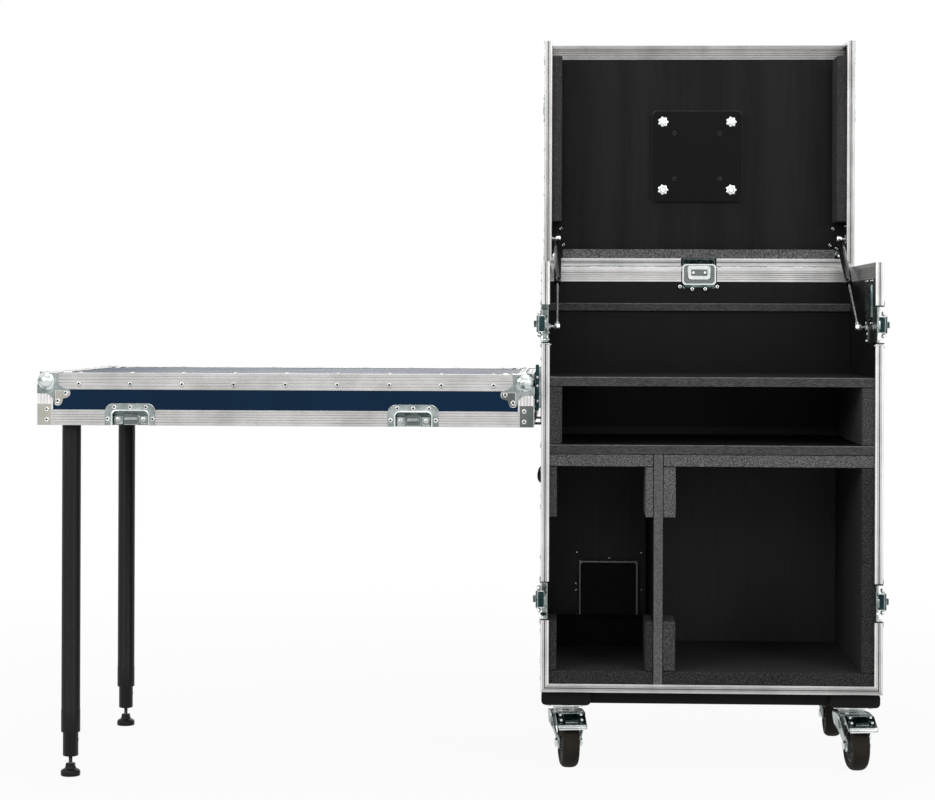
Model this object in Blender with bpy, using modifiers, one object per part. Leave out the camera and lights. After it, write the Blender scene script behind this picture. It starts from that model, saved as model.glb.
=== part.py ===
"""Touring flight case on castors with its lid standing open and its front cover set up as a side table.

All sizes are metres. Case coordinates put X = 0 on the case's middle, Y = 0 on its open front,
Z = 0 on the floor; +Y runs to the back of the case. One empty moves all of it so that the whole
object is centred on the origin.
"""
import math

import bmesh
import bpy
from mathutils import Matrix, Vector

# Clearances
GAP = 0.0003
SEAT = 0.0002
AXLE_PLAY = 0.0003

# Case, lid and cover
CASE_WIDTH = 0.672
CASE_DEPTH = 0.490
CASE_HEIGHT = 0.850
LID_HEIGHT = 0.108
COVER_HEIGHT = 0.101
PLY = 0.009
BASE_PLY = 0.012
SHELF_PLY = 0.018

# Aluminium extrusions
LEAF = 0.0012
RIM_FACE = 0.0165
RIM_BAR = 0.008
RIM_OUTER_LEAF = 0.030
RIM_INNER_LEAF = 0.031
GROOVE_WIDTH = 0.003
GROOVE_DEPTH = 0.003
ANGLE_LEG = 0.030
COVER_ANGLE_LEG = 0.032

# Ball corners
BALL_RADIUS = 0.0195
BALL_INSET = 0.016
CORNER_FLANGE = 0.050
CORNER_FLANGE_TIP = 0.016
SHEET = 0.0012

# Inside the case
MAIN_SHELF_BELOW_TOP = 0.228
LOWER_SHELF_BELOW_MAIN = 0.134
RAIL_BELOW_TOP = 0.0785
RAIL_THICKNESS = 0.016
RAIL_DEPTH = 0.012
LEFT_BAY_WIDTH = 0.21195
FLOOR_FOAM = 0.028
SIDE_FOAM = 0.0307
TOP_FOAM = 0.0247
BLOCK_FOAM = 0.0252
THIN_BLOCK_FOAM = 0.0212
PARTITION_BLOCK_FOAM = 0.0165
BLOCK_DEPTH = 0.120
UPPER_BLOCK_HEIGHT = 0.100
LOWER_BLOCK_HEIGHT = 0.098
REAR_BLOCK_HEIGHT = 0.058
REAR_BLOCK_DEPTH = 0.056
REAR_BLOCK_TO_WALL = 0.024

# Castors
WHEEL_RADIUS = 0.050
WHEEL_WIDTH = 0.034
CASTOR_HEIGHT = 0.129
CASTOR_PLATE = 0.003
CASTOR_PLATE_WIDTH = 0.084
CASTOR_PLATE_DEPTH = 0.084
CASTOR_FROM_SIDE = 0.051
CASTOR_INSET = 0.085
CASTOR_TRAIL = 0.038
FRONT_CASTOR_YAW = 8.0
FORK_SHEET = 0.0028
FORK_SIDE_PLAY = 0.001
AXLE_RADIUS = 0.006
SWIVEL_RADIUS = 0.024
SWIVEL_HEIGHT = 0.017
PEDAL_WIDTH = 0.052
BOARD_THICKNESS = 0.027
BOARD_WIDTH = 0.098
BOARD_CLEAR_OF_EDGE = 0.002
BOARD_FRONT = 0.020
BOARD_FROM_BACK = 0.038
CROSS_BOARD_THICKNESS = 0.020
CROSS_BOARD_DEPTH = 0.100
FRONT_CROSS_BOARD = 0.040
REAR_CROSS_BOARD_FROM_BACK = 0.140

# Recessed hardware
LATCH_LOW = 0.180
LATCH_HIGH_BELOW_TOP = 0.123
LATCH_MOUTH = 0.072
LATCH_REACH = 0.072
LATCH_FLANGE = 0.011
LATCH_DEPTH = 0.0135
LATCH_RIM_GAP = 0.076
LID_LATCH_Y = 0.147
LID_LATCH_WIDTH = 0.100
LID_LATCH_BELOW_TOP = 0.041
LID_LATCH_FLANGE = 0.013
HUB_RADIUS = 0.010
WING_LENGTH = 0.052
WING_OUT = 0.014
WING_SHEET = 0.0035
HOOK_WIDTH = 0.026
HOOK_SHEET = 0.002
HANDLE_BELOW_TOP = 0.393
HANDLE_MOUTH_WIDTH = 0.140
HANDLE_MOUTH_HEIGHT = 0.096
HANDLE_PIVOT_BELOW_MOUTH = 0.020
HANDLE_DEPTH = 0.0095
HANDLE_FLANGE = 0.012
BAIL_RADIUS = 0.0035
BAIL_CLEAR = 0.001
BAIL_SPAN = 0.104
BAIL_DROP = 0.043
BAIL_STUB = 0.008
EAR_WIDTH = 0.005
EAR_HEIGHT = 0.014
GRIP_LENGTH = 0.092
GRIP_HEIGHT = 0.030
GRIP_DEPTH = 0.018
CABLE_DISH_FROM_WALL = 0.1312
CABLE_DISH_BOTTOM = 0.083
CABLE_DISH_WIDTH = 0.126
CABLE_DISH_HEIGHT = 0.130
CABLE_DISH_DEPTH = 0.031
CABLE_DISH_FLANGE = 0.014
REAR_DISH_WIDTH = 0.070
REAR_DISH_HEIGHT = 0.045
REAR_DISH_FLANGE = 0.010
REAR_DISH_DEPTH = 0.0145
LID_REAR_DISH_HEIGHT = 0.026

# Rear hinges
HINGE_OUT = 0.003
KNUCKLE_RADIUS = 0.0027
HINGE_INNER_X = 0.046
HINGE_FROM_SIDE = 0.099
HINGE_LEAF = 0.026
KNUCKLES = 6

# Lid
LID_GAP = 0.0005
LID_FOAM = 0.0262
LID_FOAM_FRONT = 0.0315
LID_FOAM_FROM_HINGE = 0.100
LID_REAR_FOAM = 0.022
REAR_FOAM_CLEAR_OF_STRUT = 0.002
MONITOR_PLATE = 0.200
MONITOR_PLATE_SHEET = 0.005
MONITOR_PLATE_CORNER = 0.013
MONITOR_STANDOFF = 0.009
MONITOR_FROM_HINGE = 0.248
MONITOR_BOLT_SPACING = 0.150
MONITOR_BOLT_HEAD = 0.011
MONITOR_BOLT_HEAD_HEIGHT = 0.008
MONITOR_BOLT_SHANK = 0.005
SCREEN_HOLE_SPACING = 0.100
SCREEN_HOLE_RADIUS = 0.0028
KEEPER_WIDTH = 0.060
KEEPER_HEIGHT = 0.034
CORNER_PLATE = 0.052

# Gas struts, from the hinge axis in the plane of the strut
STRUT_FROM_WALL = 0.0192
STRUT_LOW_FROM_HINGE = 0.325
STRUT_LOW_BELOW_TOP = 0.129
STRUT_LID_FROM_HINGE = 0.063
STRUT_LID_FROM_RIM = 0.020
STRUT_EYE_RADIUS = 0.007
STRUT_EYE_WIDTH = 0.012
STRUT_ROD_RADIUS = 0.004
STRUT_TUBE_RADIUS = 0.0078
STRUT_TUBE_LENGTH = 0.206
STRUT_BORE_PLAY = 0.0004
STRUT_BORE_DEPTH = 0.125
STRUT_ROD_INSERT = 0.016
STUD_RADIUS = 0.0038
BRACKET_SHEET = 0.0025
BRACKET_WIDTH = 0.030
BRACKET_HEIGHT = 0.042

# Table made of the front cover
TABLE_TO_CASE = 0.013
TABLE_FRONT_Y = -0.140
TABLE_TOP_Z = 0.785
TABLE_LIFT = 0.030
KEEPER_MOUTH = 0.070
KEEPER_MOUTH_HEIGHT = 0.028
KEEPER_FLANGE = 0.014
KEEPER_DEPTH = 0.012
KEEPER_RIM_GAP = 0.0706
BRACE_LEG = 0.028
BRACE_HEIGHT = 0.041
TABLE_HOOK_INSET = 0.100
TABLE_HOOK_WIDTH = 0.060
HOOK_PLATE_HEIGHT = 0.056
HOOK_PLATE_SHEET = 0.003
HOOK_LIP_HEIGHT = 0.016
HOOK_LIP_CLEAR = 0.0035

# Table legs
LEG_INSET_X = 0.058
LEG_INSET_Y = 0.042
LEG_RADIUS = 0.0175
LEG_BORE_PLAY = 0.0005
LEG_BOTTOM = 0.085
LEG_BORE = 0.490
INNER_LEG_RADIUS = 0.015
INNER_LEG_BOTTOM = 0.039
INNER_LEG_INSERT = 0.120
LEG_FLANGE_RADIUS = 0.027
LEG_FLANGE_HEIGHT = 0.007
FOOT_RADIUS = 0.019
FOOT_HEIGHT = 0.014
FOOT_SCREW_RADIUS = 0.004
FOOT_SCREW_TOP = 0.066
FOOT_BORE_PLAY = 0.0004
FOOT_BORE_TOP = 0.082

# Worked out from the sizes above
SKIN = LEAF + GAP
HALF = CASE_WIDTH / 2
CASE_BOTTOM = CASTOR_HEIGHT + BOARD_THICKNESS
CASE_TOP = CASE_BOTTOM + CASE_HEIGHT
WALL_OUTER = HALF - SKIN
WALL_INNER = WALL_OUTER - PLY
INSIDE_X = WALL_INNER - GAP
FRONT_INSIDE = RIM_BAR + GAP
BACK_OUTER = CASE_DEPTH - SKIN
BACK_INNER = BACK_OUTER - PLY
INSIDE_Y = BACK_INNER - GAP
BASE_BOTTOM = CASE_BOTTOM + SKIN
BASE_TOP = BASE_BOTTOM + BASE_PLY
WALL_TOP = CASE_TOP - RIM_BAR - GAP
MAIN_SHELF_Z = CASE_TOP - MAIN_SHELF_BELOW_TOP
LOWER_SHELF_Z = MAIN_SHELF_Z - LOWER_SHELF_BELOW_MAIN
PARTITION_LEFT = -INSIDE_X + LEFT_BAY_WIDTH
PARTITION_RIGHT = PARTITION_LEFT + SHELF_PLY
CASTOR_X = HALF - CASTOR_FROM_SIDE
BOARD_BACK = CASE_DEPTH - BOARD_FROM_BACK
CROSS_BOARD_FRONTS = (FRONT_CROSS_BOARD, CASE_DEPTH - REAR_CROSS_BOARD_FROM_BACK)
LATCH_HIGH = CASE_HEIGHT - LATCH_HIGH_BELOW_TOP
HANDLE_Y = CASE_DEPTH / 2
HANDLE_Z = CASE_TOP - HANDLE_BELOW_TOP
CABLE_DISH_X = -INSIDE_X + CABLE_DISH_FROM_WALL
HINGE_OUTER_X = HALF - HINGE_FROM_SIDE
HINGE_Y = CASE_DEPTH + HINGE_OUT
STRUT_X = INSIDE_X - STRUT_FROM_WALL
STRUT_LOW_Y = HINGE_Y - STRUT_LOW_FROM_HINGE
TABLE_HOOK_Y = (TABLE_HOOK_INSET, CASE_DEPTH - TABLE_HOOK_INSET)
TABLE_LENGTH = CASE_HEIGHT + LID_HEIGHT
TABLE_RIGHT = -HALF - TABLE_TO_CASE
TABLE_LEFT = TABLE_RIGHT - TABLE_LENGTH
TABLE_BACK_Y = TABLE_FRONT_Y + CASE_WIDTH
TABLE_BOTTOM_Z = TABLE_TOP_Z - COVER_HEIGHT
BALL_PROUD = BALL_RADIUS - BALL_INSET
BALL_NOTCH = BALL_INSET + BALL_RADIUS + 0.0008
WING_X = HALF - SEAT + WING_OUT
LOW_X = TABLE_LEFT - BALL_PROUD
LOW_Y = TABLE_FRONT_Y - BALL_PROUD
HIGH_Y = HINGE_Y + LID_HEIGHT + BALL_PROUD
CENTRE_X = (LOW_X + WING_X) / 2
CENTRE_Y = (LOW_Y + HIGH_Y) / 2

X = Vector((1.0, 0.0, 0.0))
Y = Vector((0.0, 1.0, 0.0))
Z = Vector((0.0, 0.0, 1.0))
SIDES = (("left", -1), ("right", 1))


def clear_scene():
    for item in list(bpy.data.objects):
        bpy.data.objects.remove(item, do_unlink=True)


def new_collection(name):
    collection = bpy.data.collections.new(name)
    bpy.context.scene.collection.children.link(collection)
    return collection


def material(name, colour, roughness, metallic):
    made = bpy.data.materials.new(name)
    made.use_nodes = True
    shader = made.node_tree.nodes["Principled BSDF"]
    shader.inputs["Base Color"].default_value = (*colour, 1.0)
    shader.inputs["Roughness"].default_value = roughness
    shader.inputs["Metallic"].default_value = metallic
    return made


def to_mesh(bm, name="piece"):
    mesh = bpy.data.meshes.new(name)
    bm.to_mesh(mesh)
    bm.free()
    return mesh


def temporary(mesh):
    item = bpy.data.objects.new("temporary", mesh)
    bpy.context.scene.collection.objects.link(item)
    return item


def evaluated(item):
    """The item's mesh with its modifiers in it; the item itself is removed."""
    bpy.context.view_layer.update()
    graph = bpy.context.evaluated_depsgraph_get()
    mesh = bpy.data.meshes.new_from_object(item.evaluated_get(graph))
    bpy.data.objects.remove(item, do_unlink=True)
    return mesh


def join(meshes):
    """Several closed pieces in one mesh, still apart from each other."""
    bm = bmesh.new()
    for mesh in meshes:
        bm.from_mesh(mesh)
    return to_mesh(bm)


def moved(mesh, matrix):
    """A copy of the mesh under a matrix, with its faces outward also when it is mirrored."""
    copy = mesh.copy()
    copy.transform(matrix)
    if matrix.determinant() < 0:
        copy.flip_normals()
    return copy


def combined(mesh, other, operation):
    body = temporary(mesh)
    tool = temporary(other)
    boolean = body.modifiers.new("combine", "BOOLEAN")
    boolean.operation = operation
    boolean.solver = "EXACT"
    boolean.object = tool
    result = evaluated(body)
    bpy.data.objects.remove(tool, do_unlink=True)
    bm = bmesh.new()
    bm.from_mesh(result)
    bmesh.ops.remove_doubles(bm, verts=bm.verts, dist=0.000002)
    bmesh.ops.dissolve_degenerate(bm, edges=bm.edges, dist=0.000002)
    return to_mesh(bm)


def cut(mesh, cutters):
    return combined(mesh, join(cutters), "DIFFERENCE")


def fuse(meshes):
    """One closed body from several that overlap."""
    result = meshes[0]
    for mesh in meshes[1:]:
        result = combined(result, mesh, "UNION")
    return result


def box(low, high):
    bm = bmesh.new()
    bmesh.ops.create_cube(bm, size=1.0)
    for vert in bm.verts:
        vert.co = [high[axis] if vert.co[axis] > 0 else low[axis] for axis in range(3)]
    return to_mesh(bm)


def side_box(side, near, far, low_y, high_y, low_z, high_z):
    """A box beside a side wall: near and far are distances from the case's middle."""
    xs = sorted((side * near, side * far))
    return box((xs[0], low_y, low_z), (xs[1], high_y, high_z))


def cylinder(start, end, radius, segments=16):
    start = Vector(start)
    end = Vector(end)
    along = end - start
    turn = Z.rotation_difference(along.normalized()).to_matrix().to_4x4()
    bm = bmesh.new()
    bmesh.ops.create_cone(
        bm, cap_ends=True, segments=segments, radius1=radius, radius2=radius, depth=along.length,
        matrix=Matrix.Translation((start + end) / 2) @ turn)
    return to_mesh(bm)


def turned(profile, segments, closed=False):
    """A profile of (radius, height) points turned about Z; it runs down its outer side."""
    bm = bmesh.new()
    points = [bm.verts.new((radius, 0.0, height)) for radius, height in profile]
    pairs = list(zip(points, points[1:]))
    if closed:
        pairs.append((points[-1], points[0]))
    for first, second in pairs:
        bm.edges.new((first, second))
    item = temporary(to_mesh(bm))
    screw = item.modifiers.new("turn", "SCREW")
    screw.steps = segments
    screw.render_steps = segments
    screw.use_merge_vertices = True
    screw.merge_threshold = 0.00001
    return evaluated(item)


def outline(points, thickness):
    """A flat plate of the outline, centred on the XY plane."""
    curve = bpy.data.curves.new("outline", "CURVE")
    curve.dimensions = "2D"
    curve.fill_mode = "BOTH"
    curve.extrude = thickness / 2
    spline = curve.splines.new("POLY")
    spline.points.add(len(points) - 1)
    for point, (across, up) in zip(spline.points, points):
        point.co = (across, up, 0.0, 1.0)
    spline.use_cyclic_u = True
    item = bpy.data.objects.new("outline", curve)
    bpy.context.scene.collection.objects.link(item)
    bm = bmesh.new()
    bm.from_mesh(evaluated(item))
    bpy.data.curves.remove(curve)
    bmesh.ops.remove_doubles(bm, verts=bm.verts, dist=0.00001)
    bmesh.ops.recalc_face_normals(bm, faces=bm.faces)
    return to_mesh(bm)


def wire(points, radius, resolution=2):
    """A round rod bent along the points."""
    curve = bpy.data.curves.new("wire", "CURVE")
    curve.dimensions = "3D"
    curve.bevel_depth = radius
    curve.bevel_resolution = resolution
    curve.use_fill_caps = True
    spline = curve.splines.new("POLY")
    spline.points.add(len(points) - 1)
    for point, place in zip(spline.points, points):
        point.co = (*place, 1.0)
    item = bpy.data.objects.new("wire", curve)
    bpy.context.scene.collection.objects.link(item)
    bm = bmesh.new()
    bm.from_mesh(evaluated(item))
    bpy.data.curves.remove(curve)
    bmesh.ops.remove_doubles(bm, verts=bm.verts, dist=0.00001)
    bmesh.ops.recalc_face_normals(bm, faces=bm.faces)
    return to_mesh(bm)


def rounded_rectangle(width, height, radius, steps=3):
    points = []
    for turn, (cx, cy) in enumerate(((1, 1), (-1, 1), (-1, -1), (1, -1))):
        for step in range(steps + 1):
            angle = math.radians(90.0 * turn + 90.0 * step / steps)
            across = cx * (width / 2 - radius) + radius * math.cos(angle)
            up = cy * (height / 2 - radius) + radius * math.sin(angle)
            points.append((across, up))
    return points


def rim_profile(inner_leaf):
    """Section of a rim extrusion: first value outward, second one in from the rim's face."""
    groove_in = (RIM_FACE + GROOVE_WIDTH) / 2
    groove_out = (RIM_FACE - GROOVE_WIDTH) / 2
    points = [(0.0, 0.0), (0.0, RIM_OUTER_LEAF), (-LEAF, RIM_OUTER_LEAF), (-LEAF, RIM_BAR)]
    if inner_leaf:
        near = SKIN + PLY + GAP
        far = near + LEAF
        points += [(-near, RIM_BAR), (-near, RIM_INNER_LEAF), (-far, RIM_INNER_LEAF), (-far, RIM_BAR)]
    points += [(-RIM_FACE, RIM_BAR), (-RIM_FACE, 0.0)]
    points += [(-groove_in, 0.0), (-groove_in, GROOVE_DEPTH)]
    points += [(-groove_out, GROOVE_DEPTH), (-groove_out, 0.0)]
    return points


def angle_profile(leg, sheet=LEAF):
    return [(0.0, 0.0), (0.0, leg), (-sheet, leg), (-sheet, sheet), (-leg, sheet), (-leg, 0.0)]


def sweep(profile, corners, outs, up, closed=False):
    """An extrusion bent round mitred corners; each run has its own outward direction."""
    up = Vector(up)
    outs = [Vector(out) for out in outs]

    def place(index, across, in_from_face):
        before = outs[index - 1] if closed or index > 0 else outs[0]
        after = outs[index] if index < len(outs) else outs[-1]
        mitre = (before + after) / (1.0 + before.dot(after))
        return Vector(corners[index]) + mitre * across + up * in_from_face

    bm = bmesh.new()
    order = bm.verts.layers.int.new("order")
    ring = [bm.verts.new(place(0, *point)) for point in profile]
    for number, vert in enumerate(ring):
        vert[order] = number
    first = bm.faces.new(ring)
    face = first
    stops = list(range(1, len(corners)))
    if closed:
        stops.append(0)
    for index in stops:
        grown = bmesh.ops.extrude_face_region(bm, geom=[face])
        if face is not first:
            bmesh.ops.delete(bm, geom=[face], context="FACES_ONLY")
        face = next(part for part in grown["geom"] if isinstance(part, bmesh.types.BMFace))
        for vert in face.verts:
            vert.co = place(index, *profile[vert[order]])
    if closed:
        bmesh.ops.delete(bm, geom=[first, face], context="FACES_ONLY")
        bmesh.ops.remove_doubles(bm, verts=bm.verts, dist=0.000001)
    bmesh.ops.recalc_face_normals(bm, faces=bm.faces)
    return to_mesh(bm)


def pan(mouth, depth, flange, sheet=SHEET, open_from=None):
    """A pressed dish with a flange; its mouth is (low u, high u, low v, high v), +Z faces out.

    With open_from the dish starts there and has no wall or flange on its low-u side.
    """
    low_u, high_u, low_v, high_v = mouth
    dish_u = rim_u = hollow_u = open_from
    if open_from is None:
        dish_u = low_u
        rim_u = low_u - flange
        hollow_u = low_u + sheet
    else:
        hollow_u = open_from - sheet
    plate = box((rim_u, low_v - flange, 0.0), (high_u + flange, high_v + flange, sheet))
    dish = box((dish_u, low_v, -depth), (high_u, high_v, sheet))
    hollow = box(
        (hollow_u, low_v + sheet, sheet - depth), (high_u - sheet, high_v - sheet, 2 * sheet))
    return cut(fuse([plate, dish]), [hollow])


def wall_frame(side):
    """Matrix from a dish's (u = back, v = up, out) axes to a side wall's outer face."""
    out = X * side
    turn = Matrix((Y, Z, out)).transposed().to_4x4()
    return Matrix.Translation(out * (HALF - SEAT)) @ turn


def back_frame():
    """Matrix from a dish's (u = left to right, v = up, out) axes to the case's rear face."""
    turn = Matrix((X, Z, Y)).transposed().to_4x4()
    return Matrix.Translation(Y * (CASE_DEPTH - SEAT)) @ turn


def ball_corner(flanges):
    """A ball corner for the corner at the origin of a plywood box that fills x, y, z < 0."""
    bm = bmesh.new()
    centre = Vector((-BALL_INSET, -BALL_INSET, -BALL_INSET))
    bmesh.ops.create_uvsphere(
        bm, u_segments=12, v_segments=8, radius=BALL_RADIUS, matrix=Matrix.Translation(centre))
    wall = -SKIN - PLY
    pieces = [cut(to_mesh(bm), [box((-2 * BALL_NOTCH,) * 3, (wall, wall, wall))])]
    start = -SHEET - GAP
    shape = [(start, start), (-CORNER_FLANGE, start), (-CORNER_FLANGE, -CORNER_FLANGE_TIP)]
    shape += [(-CORNER_FLANGE_TIP, -CORNER_FLANGE), (start, -CORNER_FLANGE)]
    plate = outline(shape, SHEET)
    lift = Matrix.Translation(Z * (SHEET / 2 - SEAT))
    turns = {
        "z": Matrix.Identity(4),
        "x": Matrix((Z, X, Y)).to_4x4(),
        "y": Matrix((Y, Z, X)).to_4x4(),
    }
    for flange in flanges:
        pieces.append(moved(plate, turns[flange].inverted() @ lift))
    return fuse(pieces)


def corner_matrix(place, outward):
    """Puts a ball corner at a place; outward has the sign of the corner along each axis."""
    return Matrix.Translation(place) @ Matrix.Diagonal((*outward, 1.0))


def corner_notch(place, outward):
    """The cube of space that a ball corner takes out of the panels and angles it closes."""
    place = Vector(place)
    out = Vector(outward)
    ends = (place + out * SHEET, place - out * BALL_NOTCH)
    low = [min(first, second) for first, second in zip(*ends)]
    high = [max(first, second) for first, second in zip(*ends)]
    return box(low, high)


class Model:
    """Collects the named parts under one empty that centres the whole object."""

    def __init__(self):
        self.collection = new_collection("flight_case_workstation")
        self.root = self.empty("model_origin", (-CENTRE_X, -CENTRE_Y, 0.0), None)
        self.laminate = material("laminate_navy", (0.010, 0.035, 0.115), 0.45, 0.0)
        self.black_ply = material("black_ply", (0.012, 0.012, 0.013), 0.7, 0.0)
        self.aluminium = material("aluminium", (0.70, 0.71, 0.72), 0.35, 1.0)
        self.zinc = material("zinc_steel", (0.62, 0.66, 0.66), 0.3, 1.0)
        self.foam = material("foam", (0.035, 0.035, 0.037), 0.95, 0.0)
        self.rubber = material("black_rubber", (0.02, 0.019, 0.018), 0.6, 0.0)
        self.black_steel = material("black_steel", (0.015, 0.015, 0.016), 0.4, 0.6)

    def empty(self, name, place, parent, turn=(0.0, 0.0, 0.0)):
        item = bpy.data.objects.new(name, None)
        item.location = place
        item.rotation_euler = [math.radians(angle) for angle in turn]
        item.parent = parent
        self.collection.objects.link(item)
        return item

    def part(self, name, meshes, finish, parent=None, place=(0.0, 0.0, 0.0), turn=(0.0, 0.0, 0.0),
             smooth=False):
        mesh = join(meshes)
        mesh.name = name
        mesh.materials.clear()
        mesh.materials.append(finish)
        if smooth:
            mesh.shade_smooth()
            mesh.set_sharp_from_angle(angle=math.radians(40.0))
        item = bpy.data.objects.new(name, mesh)
        item.parent = parent or self.root
        item.location = place
        item.rotation_euler = [math.radians(angle) for angle in turn]
        self.collection.objects.link(item)
        return item


def case_ball_corners():
    """The two rear corners at the bottom of the case: where they are and how they face."""
    return [((side * HALF, CASE_DEPTH, CASE_BOTTOM), (side, 1, -1)) for name, side in SIDES]


def case_notches():
    return [corner_notch(place, outward) for place, outward in case_ball_corners()]


def latch_heights():
    return CASE_BOTTOM + LATCH_LOW, CASE_BOTTOM + LATCH_HIGH


def cover_latch_mouth(height):
    return -LATCH_FLANGE, LATCH_REACH, height - LATCH_MOUTH / 2, height + LATCH_MOUTH / 2


def lid_latch_mouth():
    high = CASE_TOP - LID_LATCH_BELOW_TOP
    low = high - LATCH_MOUTH
    return LID_LATCH_Y - LID_LATCH_WIDTH / 2, LID_LATCH_Y + LID_LATCH_WIDTH / 2, low, high


def handle_mouth():
    high = HANDLE_Z + HANDLE_PIVOT_BELOW_MOUTH
    half = HANDLE_MOUTH_WIDTH / 2
    return HANDLE_Y - half, HANDLE_Y + half, high - HANDLE_MOUTH_HEIGHT, high


def cable_mouth():
    low = CASE_BOTTOM + CABLE_DISH_BOTTOM
    half = CABLE_DISH_WIDTH / 2
    return CABLE_DISH_X - half, CABLE_DISH_X + half, low, low + CABLE_DISH_HEIGHT


def mouth_cutter(matrix, mouth, depth):
    """A box through a panel behind a dish's mouth."""
    low_u, high_u, low_v, high_v = mouth
    block = box((low_u - GAP, low_v - GAP, -depth), (high_u + GAP, high_v + GAP, SHEET))
    return moved(block, matrix)


def make_case_panels(model):
    base = box((-WALL_OUTER, FRONT_INSIDE, BASE_BOTTOM), (WALL_OUTER, BACK_OUTER, BASE_TOP))
    model.part("base_panel", [cut(base, case_notches())], model.black_ply)

    mouths = [cover_latch_mouth(height) for height in latch_heights()]
    mouths += [lid_latch_mouth(), handle_mouth()]
    for name, side in SIDES:
        wall = side_box(side, WALL_INNER, WALL_OUTER, FRONT_INSIDE, BACK_OUTER, BASE_TOP + GAP, WALL_TOP)
        cutters = [mouth_cutter(wall_frame(side), mouth, LATCH_DEPTH + GAP) for mouth in mouths]
        model.part(name + "_wall", [cut(wall, cutters + case_notches())], model.laminate)

    rear = box((-INSIDE_X, BACK_INNER, BASE_TOP + GAP), (INSIDE_X, BACK_OUTER, WALL_TOP))
    half = REAR_DISH_WIDTH / 2
    top_mouth = (-half, half, CASE_TOP - REAR_DISH_HEIGHT, CASE_TOP + GAP)
    cutters = [mouth_cutter(back_frame(), cable_mouth(), CABLE_DISH_DEPTH)]
    cutters.append(mouth_cutter(back_frame(), top_mouth, REAR_DISH_DEPTH + GAP))
    model.part("rear_wall", [cut(rear, cutters + case_notches())], model.laminate)


def open_u(front, back, height):
    """Corners of a U along the left, rear and right edges of a box."""
    return [(-HALF, front, height), (-HALF, back, height), (HALF, back, height), (HALF, front, height)]


def make_front_rim(model):
    """The case's front rim, notched at the four cover latches and carrying their dishes."""
    corners = [(-HALF, 0, CASE_TOP), (-HALF, 0, CASE_BOTTOM), (HALF, 0, CASE_BOTTOM), (HALF, 0, CASE_TOP)]
    rim = sweep(rim_profile(inner_leaf=False), corners, (-X, -Z, X), Y)
    notches = []
    dishes = []
    for name, side in SIDES:
        notches.append(side_box(
            side, HALF - LEAF - GAP, HALF + LEAF, RIM_BAR, RIM_OUTER_LEAF + LEAF,
            CASE_TOP - RIM_OUTER_LEAF - GAP, CASE_TOP + LEAF))
        for height in latch_heights():
            notches.append(side_box(
                side, HALF - RIM_FACE - GAP, HALF + LEAF, -LEAF, RIM_OUTER_LEAF + LEAF,
                height - LATCH_RIM_GAP / 2, height + LATCH_RIM_GAP / 2))
            dish = pan(cover_latch_mouth(height), LATCH_DEPTH, LATCH_FLANGE, open_from=GAP)
            hook = moved(latch_hook(LATCH_REACH / 2, 4 * GAP), Matrix.Translation(Y * height))
            dishes.append(moved(fuse([dish, hook]), wall_frame(side)))
    model.part("front_rim", [fuse([cut(rim, notches)] + dishes)], model.aluminium)


def make_top_rim(model):
    """The rim the lid closes on, with the lid latches' dishes, the hinge leaves and the rear dish."""
    rim = sweep(rim_profile(inner_leaf=True), open_u(FRONT_INSIDE, CASE_DEPTH, CASE_TOP), (-X, Y, X), -Z)
    half = REAR_DISH_WIDTH / 2
    gap = half + 0.3 * REAR_DISH_FLANGE
    notch = box(
        (-gap, CASE_DEPTH - RIM_FACE - GAP, CASE_TOP - RIM_INNER_LEAF - LEAF),
        (gap, CASE_DEPTH + LEAF, CASE_TOP + LEAF))
    turned_mouth = (-CASE_TOP, -CASE_TOP + REAR_DISH_HEIGHT, -half, half)
    stay = pan(turned_mouth, REAR_DISH_DEPTH, REAR_DISH_FLANGE, open_from=-CASE_TOP + GAP)
    quarter = Matrix.Rotation(math.radians(-90.0), 4, "Z")
    pieces = [cut(rim, [notch]), moved(stay, back_frame() @ quarter)]
    for name, side in SIDES:
        pieces.append(moved(pan(lid_latch_mouth(), LATCH_DEPTH, LID_LATCH_FLANGE), wall_frame(side)))
    pieces += hinge_half(0, HINGE_Y, CASE_TOP, -1)
    model.part("top_rim", [fuse(pieces)], model.aluminium)


def corner_uprights(low, high, back):
    """The two rear upright angles of a box."""
    uprights = []
    for name, side in SIDES:
        ends = [(side * HALF, back, low), (side * HALF, back, high)]
        uprights.append(sweep(angle_profile(ANGLE_LEG), ends, (X * side,), -Y))
    return uprights


def make_edge_angles(model):
    """Angles along the bottom and rear edges of the case, with its two ball corners."""
    profile = angle_profile(ANGLE_LEG)
    bottom = sweep(
        profile, open_u(RIM_OUTER_LEAF + GAP, CASE_DEPTH, CASE_BOTTOM), (-X, Y, X), Z)
    uprights = corner_uprights(
        CASE_BOTTOM + ANGLE_LEG - SEAT, CASE_TOP - RIM_OUTER_LEAF - GAP, CASE_DEPTH)
    corner = ball_corner(("x", "y"))
    balls = [moved(corner, corner_matrix(place, outward)) for place, outward in case_ball_corners()]
    angles = cut(fuse([bottom] + uprights), case_notches())
    model.part("edge_angles", [fuse([angles] + balls)], model.aluminium, smooth=True)


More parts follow.
